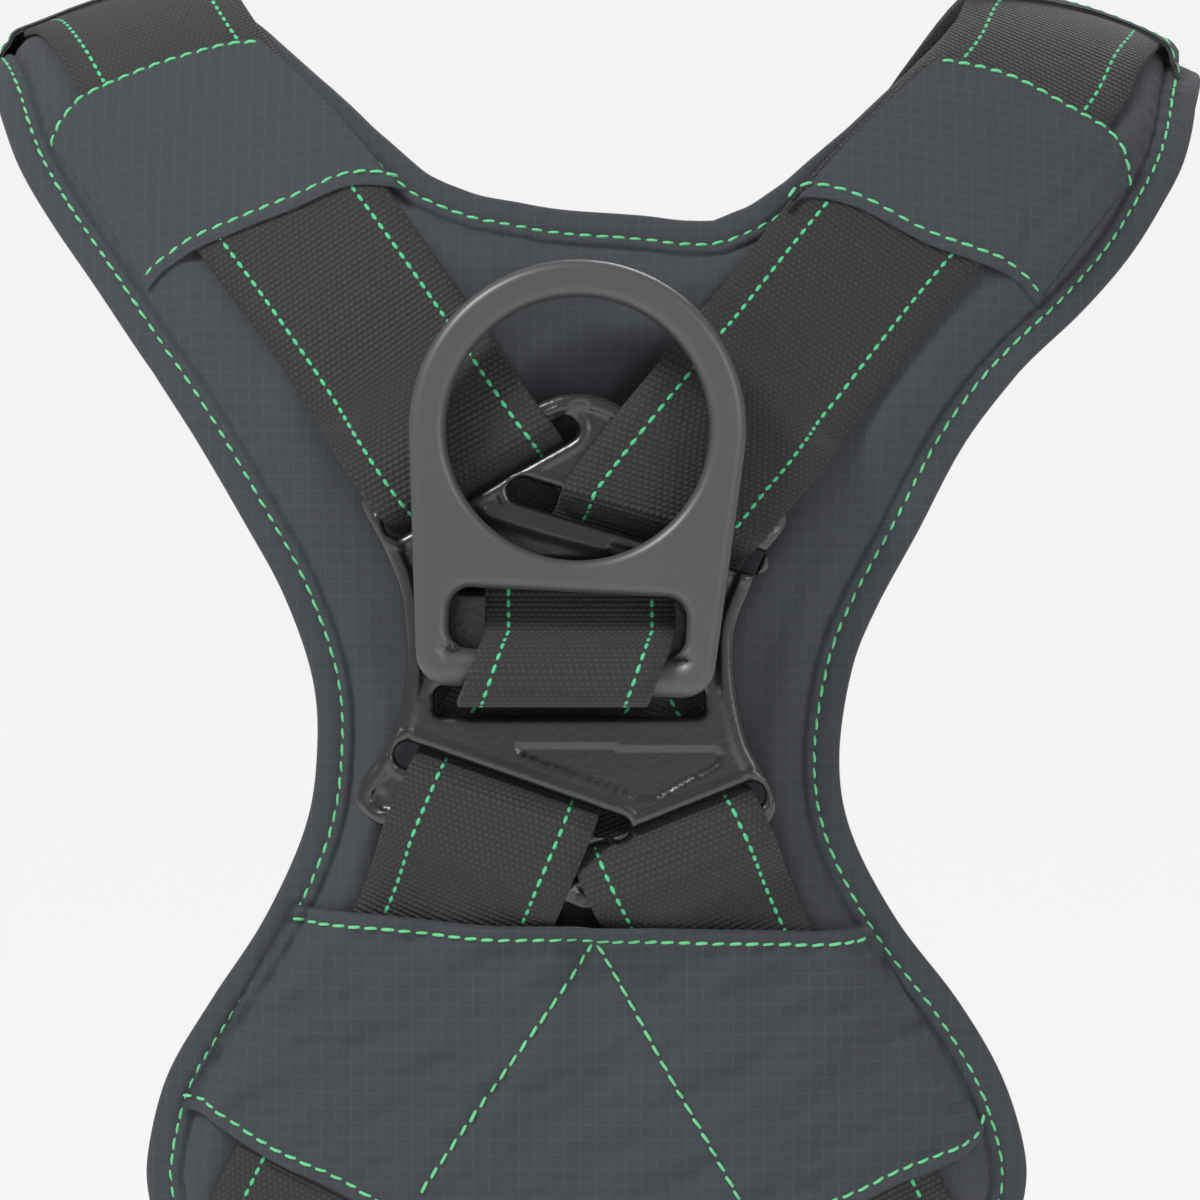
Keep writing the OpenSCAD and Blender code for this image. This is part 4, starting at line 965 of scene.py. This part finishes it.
# ---------------------------------------------------------------- waist belt and leg loops
def long_pad(name, place, end, half, low, material, replaces, n, seam=0.36, seed=1):
    """A padded band: u runs along it in degrees, v across. Crowned panels between sewn lines, with a rolled edge."""
    u = np.linspace(-end, end, n)
    h = half(u)
    rim = np.array([0, .004, .012, .025, .04, .055, .07, .085, .1, .12, .15])
    shares = np.concatenate([rim, np.linspace(0.18, 0.82, 44), 1 - rim[::-1]])
    v = (2 * shares[None] - 1) * h[:, None]
    edge = np.minimum(shares, 1 - shares)[None] * 2 * h[:, None]
    tip = (end - np.abs(u))[:, None] * 1.9 + 0 * edge
    edge = np.minimum(edge, tip)
    span = low * 0.5
    roll = np.sqrt(np.clip(1 - (1 - edge / 2.0) ** 2, 0, 1))
    top = np.where(edge < 2.0, span + (-1.6 - span) * roll, -1.6)
    top = top + 1.6 * ease((edge - 7) / 9)
    top -= 0.5 * np.exp(-(((edge - 5.5) / 0.8) ** 2))
    run = u[:, None] * 2.1 + 0 * v
    top += ease((edge - 8) / 8) * (0.35 * waves(run, v, seed, 48, 2) - 0.25)
    bottom = np.where(edge < 2.0, span + (low + 1.2 - span) * roll, low + 1.2)
    bottom = bottom - 1.2 * ease((edge - 4) / 9)
    for s in (-1, 1):
        bottom += 1.0 * np.exp(-(((v - s * seam * h[:, None] * 2) / 1.2) ** 2)) * ease((edge - 8) / 6)
    up = place(u[:, None] + 0 * v, v, top)
    down = place(u[:, None] + 0 * v, v, bottom)
    m = up.shape[1]
    loop = np.concatenate([up, down[:, ::-1][:, 1:-1]], 1)
    c = loop.shape[1]
    f = grid_faces(n, c, True)
    caps = []
    for row in (0, n - 1):
        o = row * c
        under = [o] + [o + c - 1 - i for i in range(m - 2)] + [o + m - 1]
        caps += end_quads(range(o, o + m), under, [], row > 0)
    f = np.concatenate([f, np.array(caps)])
    uv = np.stack([run, v], -1)
    uv = np.concatenate([uv, uv[:, ::-1][:, 1:-1]], 1)
    o = piece(name, loop.reshape(-1, 3), f, material, uv=uv.reshape(-1, 2), replaces=replaces, slot="pad_cloth")
    o.data.materials.append(MESH)
    line = 5.5
    for s in (-1, 1):
        vv = s * (h - line)
        keep = np.abs(u) < end - 3
        p = place(u[keep], vv[keep], -1.85 + 0 * u[keep])
        q = place(u[keep], vv[keep], -0.85 + 0 * u[keep])
        stitches(name + ("_seam_low" if s < 0 else "_seam_top"), p, q - p)


def belt_half(u):
    return 54 - 15 * (np.abs(u) / 138) ** 2 - 16 * (np.abs(u) / 138) ** 14


def leg_half(u):
    return 40 - 10 * (np.abs(u) / 132) ** 2 - 8 * (np.abs(u) / 132) ** 14


# u grows clockwise from above, so the rows run the other way to face outward
long_pad("waist_belt_pad", lambda u, v, d: belt(-u, v + BELT_Z, d), 138, belt_half, -11.5, CLOTH,
         ("belt_pad", "belt_lining"), 300)
u = np.linspace(-142, 148, 260)
v = HALF_WEB * COLS
grid = belt(u[:, None] + 0 * v, BELT_Z - v + 0 * u[:, None], 3.15)
ribbon("belt_strap_web", grid, WEB, replaces=("belt_strap",))

for k, side in (("left", -1), ("right", 1)):
    place = leg(side)
    long_pad("leg_pad_" + k + "_cloth", lambda u, v, d: place(-side * u, v, d), 132, leg_half, -10, CLOTH,
             ("leg_pad_" + k,), 240, seed=3 + side)
    u = np.linspace(-178, 178, 240)
    grid = place(u[:, None] + 0 * v, -v * side + 0 * u[:, None], 1.1)
    ribbon("leg_strap_" + k + "_web", grid, PLAIN_WEB, replaces=("leg_strap_" + k,))
    rear = [belt(side * 24, -336, 2.3), 0.5 * (belt(side * 24, -336, 3.6) + place(-6, 40, 5)), place(-6, 24, 3.2)]
    edges = {"rear": [np.array(rear) + [w, 0, 0] for w in (-HALF_NARROW, HALF_NARROW)], "front": []}
    for w in (-HALF_NARROW, HALF_NARROW):
        turn = 157 - side * w * 0.624
        edges["front"].append(np.array([belt(side * 144, -326, 1.3) + [w, 0, 0],
                                        0.5 * (belt(side * 144, -326, 2) + [w, 0, 0] + place(turn, 35, 4.2)),
                                        place(turn, 24, 4.2), place(turn, 0, 4.2)]))
    for nm, (one, two) in edges.items():
        one, two = smooth(one, 12)[:, None], smooth(two, 12)[:, None]
        share = (COLS[None, :, None] * (-1 if nm == "front" else 1) + 1) / 2
        ribbon(nm + "_riser_" + k + "_web", one + (two - one) * share, LIGHT_WEB,
               replaces=(nm + "_riser_" + k,), thick=1.8, slot="light_webbing")
    path = [[-6.5, -32], [-6.5, -25], [-6.5, -16], [-6.3, -8], [-5.9, 0], [-4.2, 4.2], [0, 5.9], [4.2, 4.2], [5.9, 0],
            [5.2, -4], [2, -8.5], [-2, -13], [-4.2, -19], [-4.3, -25], [-4.3, -31]]
    p = smooth(np.array(path, float), 6)
    w = 19 * COLS
    grid = np.stack(np.broadcast_arrays(side * (176.7 + p[:, 0:1]), 4 + w, -275 + p[:, 1:2]), -1)
    ribbon("side_loop_" + k + "_web", grid, PLAIN_WEB, replaces=("side_loop_" + k,))

# ---------------------------------------------------------------- stage, light and camera
def floor():
    m = Mat("floor", (0.92, 0.92, 0.92), 0.95)
    m.b.inputs["Emission Color"].default_value = (1, 1, 1, 1)
    m.b.inputs["Emission Strength"].default_value = 0.44
    mesh = bpy.data.meshes.new("floor")
    mesh.from_pydata([(-30, -30, -0.62), (30, -30, -0.62), (30, 30, -0.62), (-30, 30, -0.62)], [], [(0, 1, 2, 3)])
    o = bpy.data.objects.new("floor", mesh)
    bpy.context.scene.collection.objects.link(o)
    mesh.materials.append(m.m)


def lamp(name, where, size, power, at=(0, -0.1, 0)):
    d = bpy.data.lights.new(name, "AREA")
    d.shape, d.size, d.energy = "DISK", size, power
    o = bpy.data.objects.new(name, d)
    o.location = where
    o.rotation_euler = (Vector(at) - Vector(where)).to_track_quat("-Z", "Y").to_euler()
    bpy.context.scene.collection.objects.link(o)


floor()
world = bpy.data.worlds.new("studio")
world.use_nodes = True
world.node_tree.nodes["Background"].inputs[0].default_value = (1, 1, 1, 1)
# The world lights the object at half strength, and the camera sees it nearly white
sky = world.node_tree.nodes
seen = sky.new("ShaderNodeLightPath")
level = sky.new("ShaderNodeMapRange")
level.inputs["To Min"].default_value = 0.5
level.inputs["To Max"].default_value = 0.9
world.node_tree.links.new(seen.outputs["Is Camera Ray"], level.inputs["Value"])
world.node_tree.links.new(level.outputs["Result"], sky["Background"].inputs["Strength"])
bpy.context.scene.world = world
bpy.context.scene.view_settings.view_transform = "Standard"
lamp("key", (-1.1, -1.2, 1.5), 0.6, 42)
lamp("fill", (1.4, -1.5, 0.6), 1.0, 12)
lamp("rim", (0.5, 1.2, 1.6), 0.8, 14)

cam = bpy.data.cameras.new("camera")
cam.sensor_width, cam.lens, cam.clip_end = 36, 189, 50
eye = bpy.data.objects.new("camera", cam)
eye.location = (0.00476, -1.630, 0.0171)
eye.rotation_euler = (math.radians(90), 0, 0)
bpy.context.scene.collection.objects.link(eye)
bpy.context.scene.camera = eye
